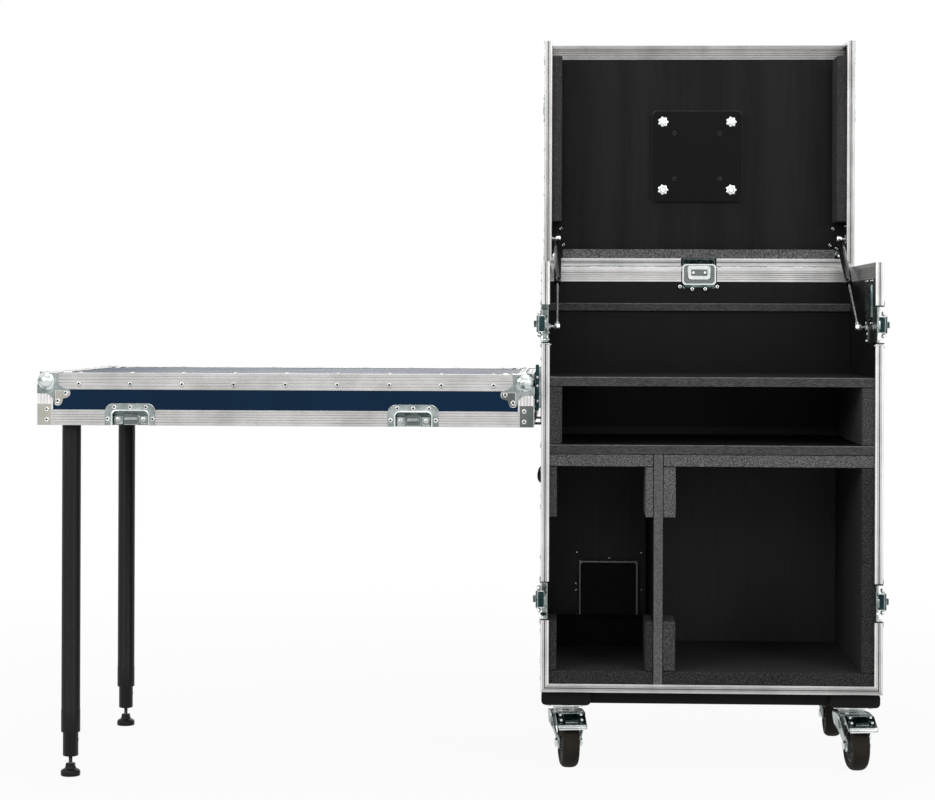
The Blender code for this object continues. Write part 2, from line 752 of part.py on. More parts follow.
def make_shelves(model):
    main_bottom = MAIN_SHELF_Z - SHELF_PLY
    lower_bottom = LOWER_SHELF_Z - SHELF_PLY
    low = (-INSIDE_X, FRONT_INSIDE)
    high = (INSIDE_X, INSIDE_Y)
    model.part("main_shelf", [box((*low, main_bottom), (*high, MAIN_SHELF_Z))], model.black_ply)
    model.part("lower_shelf", [box((*low, lower_bottom), (*high, LOWER_SHELF_Z))], model.black_ply)
    rail_top = CASE_TOP - RAIL_BELOW_TOP
    rail = box((-INSIDE_X, INSIDE_Y - RAIL_DEPTH, rail_top - RAIL_THICKNESS), (INSIDE_X, INSIDE_Y, rail_top))
    model.part("rear_rail", [rail], model.black_ply)
    partition = box(
        (PARTITION_LEFT, FRONT_INSIDE, BASE_TOP + GAP), (PARTITION_RIGHT, INSIDE_Y, lower_bottom - GAP))
    model.part("partition", [partition], model.black_ply)


def make_foam(model):
    """Foam lining: side pads in the slot bay, then the pads and corner blocks of the two tall bays."""
    floor_low = BASE_TOP + GAP
    floor_top = floor_low + FLOOR_FOAM
    under_high = LOWER_SHELF_Z - SHELF_PLY - GAP
    under_low = under_high - TOP_FOAM
    slot_low = LOWER_SHELF_Z + GAP
    slot_high = MAIN_SHELF_Z - SHELF_PLY - GAP
    near = FRONT_INSIDE + GAP
    far = INSIDE_Y - GAP
    block_back = near + BLOCK_DEPTH
    left_edge = PARTITION_LEFT - GAP
    right_edge = PARTITION_RIGHT + GAP
    low_blocks = (floor_top - SEAT, floor_top + LOWER_BLOCK_HEIGHT)
    high_blocks = (under_low - UPPER_BLOCK_HEIGHT, under_low + SEAT)

    for name, side in SIDES:
        pad = side_box(side, INSIDE_X - SIDE_FOAM, INSIDE_X, near, far, slot_low, slot_high)
        model.part(name + "_slot_foam", [pad], model.foam)

    floor = [box((-INSIDE_X, near, floor_low), (left_edge, far, floor_top))]
    ceiling = [box((-INSIDE_X, near, under_low), (left_edge, far, under_high))]
    for pad, (low, high) in ((floor, low_blocks), (ceiling, high_blocks)):
        pad.append(side_box(-1, INSIDE_X - THIN_BLOCK_FOAM, INSIDE_X, near, block_back, low, high))
        pad.append(box((left_edge - PARTITION_BLOCK_FOAM, near, low), (left_edge, block_back, high)))
    rear_far = INSIDE_Y - REAR_BLOCK_TO_WALL
    floor.append(box(
        (-INSIDE_X, rear_far - REAR_BLOCK_DEPTH, low_blocks[0]),
        (left_edge, rear_far, floor_top + REAR_BLOCK_HEIGHT)))
    model.part("left_bay_floor_foam", [fuse(floor)], model.foam)
    model.part("left_bay_top_foam", [fuse(ceiling)], model.foam)

    lining = [box((right_edge, near, floor_low), (INSIDE_X, far, floor_top))]
    lining.append(box((right_edge, near, under_low), (INSIDE_X, far, under_high)))
    lining.append(side_box(
        1, INSIDE_X - SIDE_FOAM, INSIDE_X, near, far, floor_top - SEAT, under_low + SEAT))
    for low, high in (low_blocks, high_blocks):
        lining.append(box((right_edge, near, low), (right_edge + BLOCK_FOAM, block_back, high)))
    relief = mouth_cutter(wall_frame(1), cover_latch_mouth(latch_heights()[0]), LATCH_DEPTH + GAP)
    model.part("right_bay_foam", [cut(fuse(lining), [relief])], model.foam)


def hinge_half(first, axis_y, axis_z, up):
    """Leaves and knuckles of one half of both rear hinges; first picks alternate knuckles."""
    halves = []
    pitch = (HINGE_OUTER_X - HINGE_INNER_X) / KNUCKLES
    near_y = axis_y - HINGE_OUT - SEAT
    far_y = near_y + SHEET
    clear = KNUCKLE_RADIUS + GAP
    for name, side in SIDES:
        ends = sorted((side * HINGE_INNER_X, side * HINGE_OUTER_X))
        zs = sorted((axis_z + up * clear, axis_z + up * HINGE_LEAF))
        solids = [box((ends[0], near_y, zs[0]), (ends[1], far_y, zs[1]))]
        for index in range(first, KNUCKLES, 2):
            low = ends[0] + index * pitch + GAP
            high = low + pitch - 2 * GAP
            web = sorted((axis_z, axis_z + up * (clear + SHEET)))
            solids.append(box((low, near_y, web[0]), (high, far_y, web[1])))
            solids.append(cylinder((low, axis_y, axis_z), (high, axis_y, axis_z), KNUCKLE_RADIUS, 12))
        halves.append(fuse(solids))
    return halves


def latch_hook(mouth_centre, edge):
    """The sliding hook under a latch's hub, lying on the floor of its dish: +u runs away from edge."""
    low = -LATCH_DEPTH + SHEET - SEAT
    reach = sorted((edge, mouth_centre - math.copysign(HUB_RADIUS + 0.001, mouth_centre - edge)))
    return box((reach[0], -HOOK_WIDTH / 2, low), (reach[1], HOOK_WIDTH / 2, low + HOOK_SHEET))


def make_dishes(model):
    """Handle dishes with the ears their bails hang in, and the cable dish in the rear wall."""
    pieces = [pan(handle_mouth(), HANDLE_DEPTH, HANDLE_FLANGE)]
    for way in (-1, 1):
        near = BAIL_SPAN / 2 + BAIL_STUB + GAP
        ends = sorted((HANDLE_Y + way * near, HANDLE_Y + way * (near + EAR_WIDTH)))
        pieces.append(box(
            (ends[0], HANDLE_Z - EAR_HEIGHT / 2, -HANDLE_DEPTH + SHEET - SEAT),
            (ends[1], HANDLE_Z + EAR_HEIGHT / 2, SEAT)))
    dish = fuse(pieces)
    for name, side in SIDES:
        model.part(name + "_handle_dish", [moved(dish, wall_frame(side))], model.zinc)
    cable = pan(cable_mouth(), CABLE_DISH_DEPTH, CABLE_DISH_FLANGE)
    model.part("rear_cable_dish", [moved(cable, back_frame())], model.zinc)


def make_castor_base(model):
    """Two runners and two cross boards under the case, with the castors' plates."""
    board_top = CASE_BOTTOM - GAP
    outer = HALF - BOARD_CLEAR_OF_EDGE
    inner = outer - BOARD_WIDTH
    pieces = []
    for name, side in SIDES:
        pieces.append(side_box(side, inner, outer, BOARD_FRONT, BOARD_BACK, CASTOR_HEIGHT, board_top))
    low_z = board_top - CROSS_BOARD_THICKNESS
    reach = inner + SEAT
    for start in CROSS_BOARD_FRONTS:
        pieces.append(box((-reach, start, low_z), (reach, start + CROSS_BOARD_DEPTH, board_top)))
    plate_low = CASTOR_HEIGHT - CASTOR_PLATE
    half = Vector((CASTOR_PLATE_WIDTH / 2, CASTOR_PLATE_DEPTH / 2, 0.0))
    for name, side, along, yaw, braked in CASTORS:
        place = Vector((side * CASTOR_X, along, 0.0))
        pieces.append(box(place - half + Z * plate_low, place + half + Z * (CASTOR_HEIGHT + SEAT)))
    model.part("castor_base", [fuse(pieces)], model.black_ply)


CASTORS = (
    ("front_left", -1, CASTOR_INSET, FRONT_CASTOR_YAW, True),
    ("front_right", 1, CASTOR_INSET, FRONT_CASTOR_YAW, True),
    ("rear_left", -1, CASE_DEPTH - CASTOR_INSET, 180.0, False),
    ("rear_right", 1, CASE_DEPTH - CASTOR_INSET, 180.0, False),
)


def fork_mesh():
    """Swivel head, two cheeks and the axle bolt; the wheel trails towards -Y."""
    top = CASTOR_HEIGHT - CASTOR_PLATE - GAP
    low = top - SWIVEL_HEIGHT
    half = WHEEL_WIDTH / 2 + FORK_SIDE_PLAY + FORK_SHEET
    head = cylinder((0, 0, low), (0, 0, top), SWIVEL_RADIUS, 20)
    crown = box((-half, -SWIVEL_RADIUS, low - FORK_SHEET), (half, SWIVEL_RADIUS, low + FORK_SHEET))
    cheek_shape = [
        (-0.020, low + 0.002), (0.036, low + 0.002), (0.041, low - 0.014), (0.052, 0.058),
        (0.048, 0.040), (0.036, 0.036), (0.026, 0.040), (-0.020, low - 0.010)]
    stand = Matrix((-Y, Z, -X)).transposed().to_4x4()
    plate = moved(outline(cheek_shape, FORK_SHEET), stand)
    solids = [head, crown]
    for side in (-1, 1):
        solids.append(moved(plate, Matrix.Translation(X * side * (half - FORK_SHEET / 2))))
    axle_y = -CASTOR_TRAIL
    reach = half + 0.004
    solids.append(cylinder((-reach, axle_y, WHEEL_RADIUS), (reach, axle_y, WHEEL_RADIUS), AXLE_RADIUS, 12))
    for side in (-1, 1):
        start = (side * (half - FORK_SHEET / 2), axle_y, WHEEL_RADIUS)
        end = (side * (half + 0.006), axle_y, WHEEL_RADIUS)
        solids.append(cylinder(start, end, AXLE_RADIUS * 1.6, 6))
    return fuse(solids)


def wheel_mesh():
    """Tyre and hub turned about the axle, with the axle's bore."""
    half = WHEEL_WIDTH / 2
    bore = AXLE_RADIUS + AXLE_PLAY
    shoulder = half - 0.001
    profile = [
        (bore, half), (0.013, half), (0.016, shoulder - 0.006), (0.030, shoulder - 0.006),
        (0.033, shoulder - 0.001), (WHEEL_RADIUS - 0.008, shoulder - 0.001),
        (WHEEL_RADIUS - 0.0025, half * 0.62), (WHEEL_RADIUS, 0.0)]
    mirrored = [(radius, -height) for radius, height in reversed(profile[:-1])]
    about_x = Matrix.Rotation(math.radians(90.0), 4, "Y")
    return moved(turned(profile + mirrored, 24, closed=True), about_x)


def pedal_mesh():
    """Brake pedal from its pivot at the origin; its tread leans down towards -Y."""
    arm_shape = [(-0.004, -0.003), (0.004, -0.003), (0.018, 0.0018), (0.018, 0.0045), (-0.004, 0.004)]
    tread_shape = [
        (0.014, 0.0015), (0.030, 0.001), (0.060, -0.0185), (0.062, -0.0155), (0.031, 0.0045), (0.014, 0.0050)]
    arm = outline(arm_shape, WHEEL_WIDTH)
    tread = outline(tread_shape, PEDAL_WIDTH)
    stand = Matrix((-Y, Z, -X)).transposed().to_4x4()
    return fuse([moved(arm, stand), moved(tread, stand)])


PEDAL_PIVOT = (0.0, -0.031, 0.104)


def make_castors(model):
    fork = fork_mesh()
    wheel = wheel_mesh()
    pedal = pedal_mesh()
    for name, side, along, yaw, braked in CASTORS:
        place = (side * CASTOR_X, along, 0.0)
        swivel = model.empty(name + "_swivel_axis", place, model.root, (0.0, 0.0, yaw))
        model.part(name + "_fork", [fork], model.zinc, swivel, smooth=True)
        axle = (0.0, -CASTOR_TRAIL, WHEEL_RADIUS)
        model.part(name + "_wheel", [wheel], model.rubber, swivel, axle, smooth=True)
        if braked:
            model.part(name + "_pedal", [pedal], model.zinc, swivel, PEDAL_PIVOT)


def wing_mesh(hub_low):
    """Butterfly wing standing on its hub; its twist axis is Z, its lobes lie along X, upright on a wall."""
    hub = cylinder((0, 0, hub_low), (0, 0, 0.003), HUB_RADIUS, 16)
    reach = WING_LENGTH / 2
    shape = []
    for way in (1, -1):
        lobe = [(0.10, 0.60), (0.45, 1.00), (0.90, 0.93), (1.00, 0.35), (0.45, 0.10)]
        lobe = [(way * reach * along, WING_OUT * up) for along, up in lobe]
        shape += lobe if way == 1 else lobe[::-1]
    stand = Matrix((X, Z, -Y)).transposed().to_4x4()
    blade = moved(outline(shape, WING_SHEET), stand)
    return fuse([hub, blade])


def make_latch_wings(model):
    """Wings of the cover latches and the lid latches, each on its twist axis."""
    hub_low = -LATCH_DEPTH + SHEET + GAP
    wing = wing_mesh(hub_low)
    low, high = latch_heights()
    lid_mouth = lid_latch_mouth()
    lid_height = (lid_mouth[2] + lid_mouth[3]) / 2
    places = (("low", LATCH_REACH / 2, low), ("high", LATCH_REACH / 2, high), ("lid", LID_LATCH_Y, lid_height))
    for name, side in SIDES:
        frame = wall_frame(side)
        for which, across_y, height in places:
            place = frame @ Vector((across_y, height, 0.0))
            turn = (0.0, 90.0 * side, 0.0)
            model.part(name + "_" + which + "_latch_wing", [wing], model.zinc, None, place, turn, smooth=True)


def make_handles(model):
    """Handle bails hanging from their ears, each with its thick grip."""
    floor = -HANDLE_DEPTH + SHEET
    rod_out = floor + BAIL_CLEAR + BAIL_RADIUS
    reach = BAIL_SPAN / 2
    path = [
        (-reach - BAIL_STUB, 0), (-reach, 0), (-reach, -BAIL_DROP), (reach, -BAIL_DROP), (reach, 0),
        (reach + BAIL_STUB, 0)]
    bail = wire([(0.0, across, up) for across, up in path], BAIL_RADIUS)
    grip_round = cylinder((0, -GRIP_LENGTH / 2, 0), (0, GRIP_LENGTH / 2, 0), 0.5, 16)
    for name, side in SIDES:
        grip_out = floor + GAP + GRIP_DEPTH / 2 - rod_out
        place = Vector((side * grip_out, 0.0, -BAIL_DROP))
        scale = Matrix.Diagonal((GRIP_DEPTH, 1.0, GRIP_HEIGHT, 1.0))
        grip = moved(grip_round, Matrix.Translation(place) @ scale)
        pivot = (side * (HALF - SEAT + rod_out), HANDLE_Y, HANDLE_Z)
        model.part(name + "_handle", [fuse([bail, grip])], model.zinc, None, pivot, smooth=True)


def make_lid(model):
    """The lid, in its closed place about the hinge axis, under an empty that opens it by 90 degrees."""
    pivot = model.empty("lid_hinge_axis", (0.0, HINGE_Y, CASE_TOP), model.root, (-90.0, 0.0, 0.0))
    front = -HINGE_Y
    back = -HINGE_OUT
    top = LID_HEIGHT
    panel_low = top - SKIN - PLY
    wall_low = LID_GAP + RIM_BAR + GAP
    balls = [((side * HALF, back, top), (side, 1, 1)) for name, side in SIDES]
    notches = [corner_notch(place, outward) for place, outward in balls]

    block = box((-WALL_OUTER, front + FRONT_INSIDE, wall_low), (WALL_OUTER, back - SKIN, top - SKIN))
    inside = box((-WALL_INNER, front, wall_low - PLY), (WALL_INNER, back - SKIN - PLY, panel_low))
    half = REAR_DISH_WIDTH / 2 + GAP
    dish_space = box(
        (-half, back - 2 * REAR_DISH_DEPTH, 0.0), (half, back + SHEET, LID_REAR_DISH_HEIGHT + GAP))
    shell = cut(cut(block, [inside]), notches + [dish_space])
    model.part("lid_shell", [shell], model.laminate, pivot)

    make_lid_rim(model, pivot, front, back, top)
    profile = angle_profile(ANGLE_LEG)
    edges = sweep(profile, open_u(front + RIM_OUTER_LEAF + GAP, back, top), (-X, Y, X), -Z)
    uprights = corner_uprights(LID_GAP + RIM_OUTER_LEAF + GAP, top - ANGLE_LEG + SEAT, back)
    corner = ball_corner(("x", "y", "z"))
    corners = [moved(corner, corner_matrix(place, outward)) for place, outward in balls]
    metal = fuse([cut(fuse([edges] + uprights), notches)] + corners)
    model.part("lid_edges", [metal], model.aluminium, pivot, smooth=True)

    foam_low = wall_low + GAP
    foam_high = panel_low - GAP
    leaf_inner = HALF - SKIN - PLY - GAP - LEAF
    for name, side in SIDES:
        strip = side_box(
            side, leaf_inner - GAP - LID_FOAM, leaf_inner - GAP, front + LID_FOAM_FRONT,
            -LID_FOAM_FROM_HINGE, foam_low, foam_high)
        model.part(name + "_lid_foam", [strip], model.foam, pivot)
    rear_face = back - SEAT - REAR_DISH_DEPTH - GAP
    reach = STRUT_X - STRUT_TUBE_RADIUS - REAR_FOAM_CLEAR_OF_STRUT
    strip = box((-reach, rear_face - LID_REAR_FOAM, foam_low), (reach, rear_face, foam_high))
    model.part("rear_lid_foam", [strip], model.foam, pivot)
    make_monitor_plate(model, pivot, panel_low)


def make_lid_rim(model, pivot, front, back, top):
    """Both rims of the lid, with its latch keepers, hinge leaves, rear half dish and strut studs."""
    seam = LID_GAP + RIM_BAR - SEAT
    corners = [(-HALF, front, seam), (-HALF, front, top), (HALF, front, top), (HALF, front, seam)]
    face = sweep(rim_profile(inner_leaf=False), corners, (-X, Z, X), Y)
    mating = sweep(rim_profile(inner_leaf=True), open_u(front, back, LID_GAP), (-X, Y, X), Z)
    gap = REAR_DISH_WIDTH / 2 + 0.3 * REAR_DISH_FLANGE
    notch = box(
        (-gap, back - RIM_FACE - GAP, 0.0), (gap, back + LEAF, LID_GAP + RIM_INNER_LEAF + LEAF))
    leaf_top = top - SKIN - PLY - GAP
    panel_leaf = box(
        (-INSIDE_X, front + RIM_BAR - SEAT, leaf_top - LEAF), (INSIDE_X, front + RIM_INNER_LEAF, leaf_top))
    pieces = [face, cut(mating, [notch]), panel_leaf]
    pieces += hinge_half(1, 0.0, 0.0, 1)
    for name, side in SIDES:
        pieces += lid_side_hardware(side, front)
    half = REAR_DISH_WIDTH / 2
    dish = pan((0.0, LID_REAR_DISH_HEIGHT, -half, half), REAR_DISH_DEPTH, REAR_DISH_FLANGE, open_from=LID_GAP)
    turn = Matrix((Z, X, Y)).transposed().to_4x4()
    pieces.append(moved(dish, Matrix.Translation(Y * (back - SEAT)) @ turn))
    model.part("lid_rim", [fuse(pieces)], model.aluminium, pivot)


def lid_side_hardware(side, front):
    """Latch keeper, front corner plate and strut stud of one side of the lid."""
    near = HALF - SEAT
    along = front + LID_LATCH_Y
    keeper = side_box(
        side, near, near + SHEET, along - KEEPER_WIDTH / 2, along + KEEPER_WIDTH / 2,
        LID_GAP, LID_GAP + KEEPER_HEIGHT)
    catch = side_box(
        side, near, near + 3 * SHEET, along - HOOK_WIDTH / 2, along + HOOK_WIDTH / 2,
        LID_GAP + 0.35 * KEEPER_HEIGHT, LID_GAP + 0.5 * KEEPER_HEIGHT)
    corner = side_box(side, near, near + SHEET, front, front + CORNER_PLATE, LID_GAP, LID_GAP + ANGLE_LEG)
    stud_y = -STRUT_LID_FROM_HINGE
    plate_x = HALF - SKIN - PLY - GAP - LEAF + SEAT
    plate = side_box(
        side, plate_x - BRACKET_SHEET, plate_x, stud_y - BRACKET_WIDTH / 2, stud_y + BRACKET_WIDTH / 2,
        LID_GAP + RIM_BAR + SEAT, LID_GAP + RIM_BAR + BRACKET_HEIGHT)
    start = (side * (plate_x - BRACKET_SHEET / 2), stud_y, STRUT_LID_FROM_RIM)
    end = (side * (STRUT_X + STRUT_EYE_WIDTH / 2 + GAP), stud_y, STRUT_LID_FROM_RIM)
    return [keeper, catch, corner, plate, cylinder(start, end, STUD_RADIUS, 12)]


def make_monitor_plate(model, pivot, panel_low):
    """Screen plate on its four bolts, with the small square of screw holes for a screen."""
    centre = Vector((0.0, -MONITOR_FROM_HINGE, 0.0))
    high = panel_low - MONITOR_STANDOFF
    low = high - MONITOR_PLATE_SHEET
    plate = moved(
        outline(rounded_rectangle(MONITOR_PLATE, MONITOR_PLATE, MONITOR_PLATE_CORNER), MONITOR_PLATE_SHEET),
        Matrix.Translation(centre + Z * (low + high) / 2))
    holes = []
    bolts = []
    for across in (-1, 1):
        for along in (-1, 1):
            screw = centre + Vector((across, along, 0.0)) * SCREEN_HOLE_SPACING / 2
            holes.append(cylinder(
                screw + Z * (low - GAP), screw + Z * (high + GAP), SCREEN_HOLE_RADIUS, 10))
            spot = centre + Vector((across, along, 0.0)) * MONITOR_BOLT_SPACING / 2
            bolts.append(cylinder(
                spot + Z * (low - MONITOR_BOLT_HEAD_HEIGHT), spot + Z * (low + SEAT), MONITOR_BOLT_HEAD, 6))
            bolts.append(cylinder(
                spot + Z * (low - SEAT), spot + Z * (panel_low - GAP), MONITOR_BOLT_SHANK, 12))
    model.part("monitor_plate", [fuse([cut(plate, holes)] + bolts)], model.black_steel, pivot)


def strut_ends():
    """Low and high pivot of a strut, in the YZ plane of case coordinates, with the lid open."""
    low = Vector((0.0, STRUT_LOW_Y, CASE_TOP - STRUT_LOW_BELOW_TOP))
    high = Vector((0.0, HINGE_Y + STRUT_LID_FROM_RIM, CASE_TOP + STRUT_LID_FROM_HINGE))
    return low, high


def make_struts(model):
    """Each gas strut: a rod on the case's stud, and a tube that slides over it."""
    low, high = strut_ends()
    length = (high - low).length
    lean = -math.degrees(math.atan2((high - low).y, (high - low).z))
    across = STRUT_EYE_WIDTH / 2
    eye = cylinder((-across, 0, 0), (across, 0, 0), STRUT_EYE_RADIUS, 14)
    tube_low = length - STRUT_TUBE_LENGTH
    bore = STRUT_ROD_RADIUS + STRUT_BORE_PLAY
    tube = turned([
        (0.0, length), (STRUT_ROD_RADIUS, length), (STRUT_TUBE_RADIUS, length - 2 * STRUT_EYE_RADIUS),
        (STRUT_TUBE_RADIUS, tube_low + 0.001), (STRUT_TUBE_RADIUS - 0.001, tube_low),
        (bore, tube_low), (bore, tube_low + STRUT_BORE_DEPTH), (0.0, tube_low + STRUT_BORE_DEPTH)], 14)
    rod = cylinder((0, 0, 0), (0, 0, tube_low + STRUT_ROD_INSERT), STRUT_ROD_RADIUS, 12)
    rod_mesh = fuse([eye, rod])
    tube_mesh = fuse([tube, moved(eye, Matrix.Translation(Z * length))])
    for name, side in SIDES:
        axis = model.empty(
            name + "_strut_axis", (side * STRUT_X, low.y, low.z), model.root, (lean, 0.0, 0.0))
        model.part(name + "_strut_rod", [rod_mesh], model.zinc, axis, smooth=True)
        model.part(name + "_strut_tube", [tube_mesh], model.black_steel, axis, smooth=True)


def make_strut_brackets(model):
    low, high = strut_ends()
    for name, side in SIDES:
        plate = side_box(
            side, INSIDE_X - BRACKET_SHEET, INSIDE_X, low.y - BRACKET_WIDTH / 2, low.y + BRACKET_WIDTH / 2,
            low.z - BRACKET_HEIGHT + STRUT_EYE_RADIUS, low.z + STRUT_EYE_RADIUS)
        start = (side * (INSIDE_X - BRACKET_SHEET / 2), low.y, low.z)
        end = (side * (STRUT_X + STRUT_EYE_WIDTH / 2 + GAP), low.y, low.z)
        stud = cylinder(start, end, STUD_RADIUS, 12)
        model.part(name + "_strut_bracket", [fuse([plate, stud])], model.zinc, smooth=True)


def table_corners():
    corners = []
    for across, sign_x in ((TABLE_LEFT, -1), (TABLE_RIGHT, 1)):
        for along, sign_y in ((TABLE_FRONT_Y, -1), (TABLE_BACK_Y, 1)):
            corners.append(((across, along, TABLE_TOP_Z), (sign_x, sign_y, 1)))
    return corners


def keeper_centres():
    return TABLE_LEFT + LATCH_LOW, TABLE_LEFT + LATCH_HIGH


def table_sides():
    """The cover's two long sides: their Y, and the way they face."""
    return ((TABLE_FRONT_Y, -1), (TABLE_BACK_Y, 1))


def keeper_frame(across, side_y, way):
    """Matrix from a keeper's (u = up from the rim, v = across, out) axes to a long side of the cover."""
    out = Y * way
    turn = Matrix((Z, X * way, out)).transposed().to_4x4()
    return Matrix.Translation((across, side_y - way * SEAT, TABLE_BOTTOM_Z)) @ turn


def make_table(model):
    """The front cover, lying with its open side down: a plywood shell in one metal frame."""
    corners = table_corners()
    notches = [corner_notch(place, outward) for place, outward in corners]
    low_x = TABLE_LEFT + SKIN
    high_x = TABLE_RIGHT - SKIN
    low_y = TABLE_FRONT_Y + SKIN
    high_y = TABLE_BACK_Y - SKIN
    wall_low = TABLE_BOTTOM_Z + RIM_BAR + GAP
    panel_low = TABLE_TOP_Z - SKIN - PLY
    block = box((low_x, low_y, wall_low), (high_x, high_y, TABLE_TOP_Z - SKIN))
    inside = box(
        (low_x + PLY, low_y + PLY, wall_low - PLY), (high_x - PLY, high_y - PLY, panel_low))
    half = KEEPER_MOUTH / 2 + GAP
    space = box((-RIM_BAR, -half, -2 * KEEPER_DEPTH), (KEEPER_MOUTH_HEIGHT + GAP, half, SHEET))
    rim_half = KEEPER_RIM_GAP / 2
    rim_space = box((-RIM_BAR, -rim_half, -RIM_FACE - GAP), (RIM_INNER_LEAF + LEAF, rim_half, SHEET))
    frames = [
        keeper_frame(across, side_y, way) for side_y, way in table_sides() for across in keeper_centres()]
    shell = cut(cut(block, [inside]), notches + [moved(space, frame) for frame in frames])
    model.part("table_shell", [shell], model.laminate)

    loop = [
        (TABLE_LEFT, TABLE_FRONT_Y), (TABLE_RIGHT, TABLE_FRONT_Y), (TABLE_RIGHT, TABLE_BACK_Y),
        (TABLE_LEFT, TABLE_BACK_Y)]
    outs = (-Y, X, Y, -X)
    low_loop = [(*corner, TABLE_BOTTOM_Z) for corner in loop]
    high_loop = [(*corner, TABLE_TOP_Z) for corner in loop]
    rim = sweep(rim_profile(inner_leaf=True), low_loop, outs, Z, closed=True)
    rim = cut(rim, [moved(rim_space, frame) for frame in frames])
    edges = [sweep(angle_profile(COVER_ANGLE_LEG), high_loop, outs, -Z, closed=True)]
    for place, outward in corners:
        low = (place[0], place[1], TABLE_BOTTOM_Z + RIM_OUTER_LEAF - SEAT)
        high = (place[0], place[1], TABLE_TOP_Z - COVER_ANGLE_LEG + SEAT)
        edges.append(sweep(angle_profile(ANGLE_LEG), [low, high], (X * outward[0],), -Y * outward[1]))
    pieces = [fuse([cut(fuse(edges), notches), rim])]
    ball = ball_corner(("x", "y", "z"))
    pieces += [moved(ball, corner_matrix(place, outward)) for place, outward in corners]
    proud = SHEET - SEAT
    brace = angle_profile(BRACE_LEG + proud, SHEET)
    for place, outward in corners:
        across = place[0] + outward[0] * proud
        along = place[1] + outward[1] * proud
        low = (across, along, TABLE_BOTTOM_Z + GAP)
        high = (across, along, TABLE_BOTTOM_Z + BRACE_HEIGHT)
        pieces.append(sweep(brace, [low, high], (X * outward[0],), -Y * outward[1]))
    half = KEEPER_MOUTH / 2
    keeper = pan((0.0, KEEPER_MOUTH_HEIGHT, -half, half), KEEPER_DEPTH, KEEPER_FLANGE, open_from=GAP)
    pieces += [moved(keeper, frame) for frame in frames]
    model.part("table_frame", [fuse(pieces)], model.aluminium, smooth=True)


def leg_places():
    """Middle of each leg; both stand at the end that is away from the case."""
    across = TABLE_LEFT + LEG_INSET_X
    return (
        ("front", Vector((across, TABLE_FRONT_Y + LEG_INSET_Y, 0.0))),
        ("rear", Vector((across, TABLE_BACK_Y - LEG_INSET_Y, 0.0))))


def make_table_hooks(model):
    """One steel plate screwed to the left wall, with two hooks the cover's end rim drops into."""
    wall = -WALL_OUTER - GAP
    lip_near = TABLE_RIGHT - RIM_FACE - HOOK_LIP_CLEAR
    lip_far = lip_near - HOOK_PLATE_SHEET
    tongue_top = TABLE_BOTTOM_Z - GAP
    tongue_low = tongue_top - HOOK_PLATE_SHEET
    half = TABLE_HOOK_WIDTH / 2
    pieces = [box(
        (wall - HOOK_PLATE_SHEET, TABLE_HOOK_Y[0] - half, tongue_low),
        (wall, TABLE_HOOK_Y[1] + half, tongue_low + HOOK_PLATE_HEIGHT))]
    for along in TABLE_HOOK_Y:
        pieces.append(box(
            (lip_far, along - half, tongue_low), (wall - HOOK_PLATE_SHEET / 2, along + half, tongue_top)))
        pieces.append(box(
            (lip_far, along - half, tongue_low), (lip_near, along + half, tongue_top + HOOK_LIP_HEIGHT)))
    model.part("table_hook_plate", [fuse(pieces)], model.black_steel)


def make_legs(model):
    """Telescopic legs: flanged outer tube, inner leg and levelling foot."""
    top = TABLE_TOP_Z - SKIN - PLY - GAP
    bore = INNER_LEG_RADIUS + LEG_BORE_PLAY
    tube = turned([
        (0.0, top), (LEG_FLANGE_RADIUS, top), (LEG_FLANGE_RADIUS, top - LEG_FLANGE_HEIGHT),
        (LEG_RADIUS, top - LEG_FLANGE_HEIGHT), (LEG_RADIUS, LEG_BOTTOM), (bore, LEG_BOTTOM),
        (bore, LEG_BOTTOM + LEG_BORE), (0.0, LEG_BOTTOM + LEG_BORE)], 24)
    screw_bore = FOOT_SCREW_RADIUS + FOOT_BORE_PLAY
    inner_top = LEG_BOTTOM + INNER_LEG_INSERT
    inner = turned([
        (0.0, inner_top), (INNER_LEG_RADIUS, inner_top), (INNER_LEG_RADIUS, INNER_LEG_BOTTOM),
        (screw_bore, INNER_LEG_BOTTOM), (screw_bore, FOOT_BORE_TOP), (0.0, FOOT_BORE_TOP)], 24)
    foot = turned([
        (0.0, FOOT_SCREW_TOP), (FOOT_SCREW_RADIUS, FOOT_SCREW_TOP), (FOOT_SCREW_RADIUS, FOOT_HEIGHT + 0.004),
        (0.010, FOOT_HEIGHT + 0.004), (0.011, FOOT_HEIGHT), (FOOT_RADIUS - 0.002, FOOT_HEIGHT - 0.003),
        (FOOT_RADIUS, FOOT_HEIGHT - 0.006), (FOOT_RADIUS, 0.0), (0.0, 0.0)], 20)
    for name, place in leg_places():
        axis = model.empty(name + "_leg_axis", place, model.root)
        model.part(name + "_leg_tube", [tube], model.black_steel, axis, smooth=True)
        model.part(name + "_leg_inner", [inner], model.black_steel, axis, smooth=True)
        model.part(name + "_leg_foot", [foot], model.black_steel, axis, smooth=True)


def build():
    clear_scene()
    model = Model()
    make_case_panels(model)
    make_front_rim(model)
    make_top_rim(model)
    make_edge_angles(model)
    make_shelves(model)
    make_foam(model)
    make_dishes(model)
    make_castor_base(model)
    make_castors(model)
    make_latch_wings(model)
    make_handles(model)
    make_lid(model)
    make_strut_brackets(model)
    make_struts(model)
    make_table(model)
    make_table_hooks(model)
    make_legs(model)


build()
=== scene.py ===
"""Looks of the flight case workstation: detailed metalwork, foam, castors, struts, legs and materials.

Sizes are metres. Case coordinates have X = 0 in the case's middle, Y = 0 on its open front and Z = 0
on the floor. Lid coordinates are those of the closed lid about its hinge axis.
"""
import math

import bmesh
import bpy
from mathutils import Matrix, Vector, noise


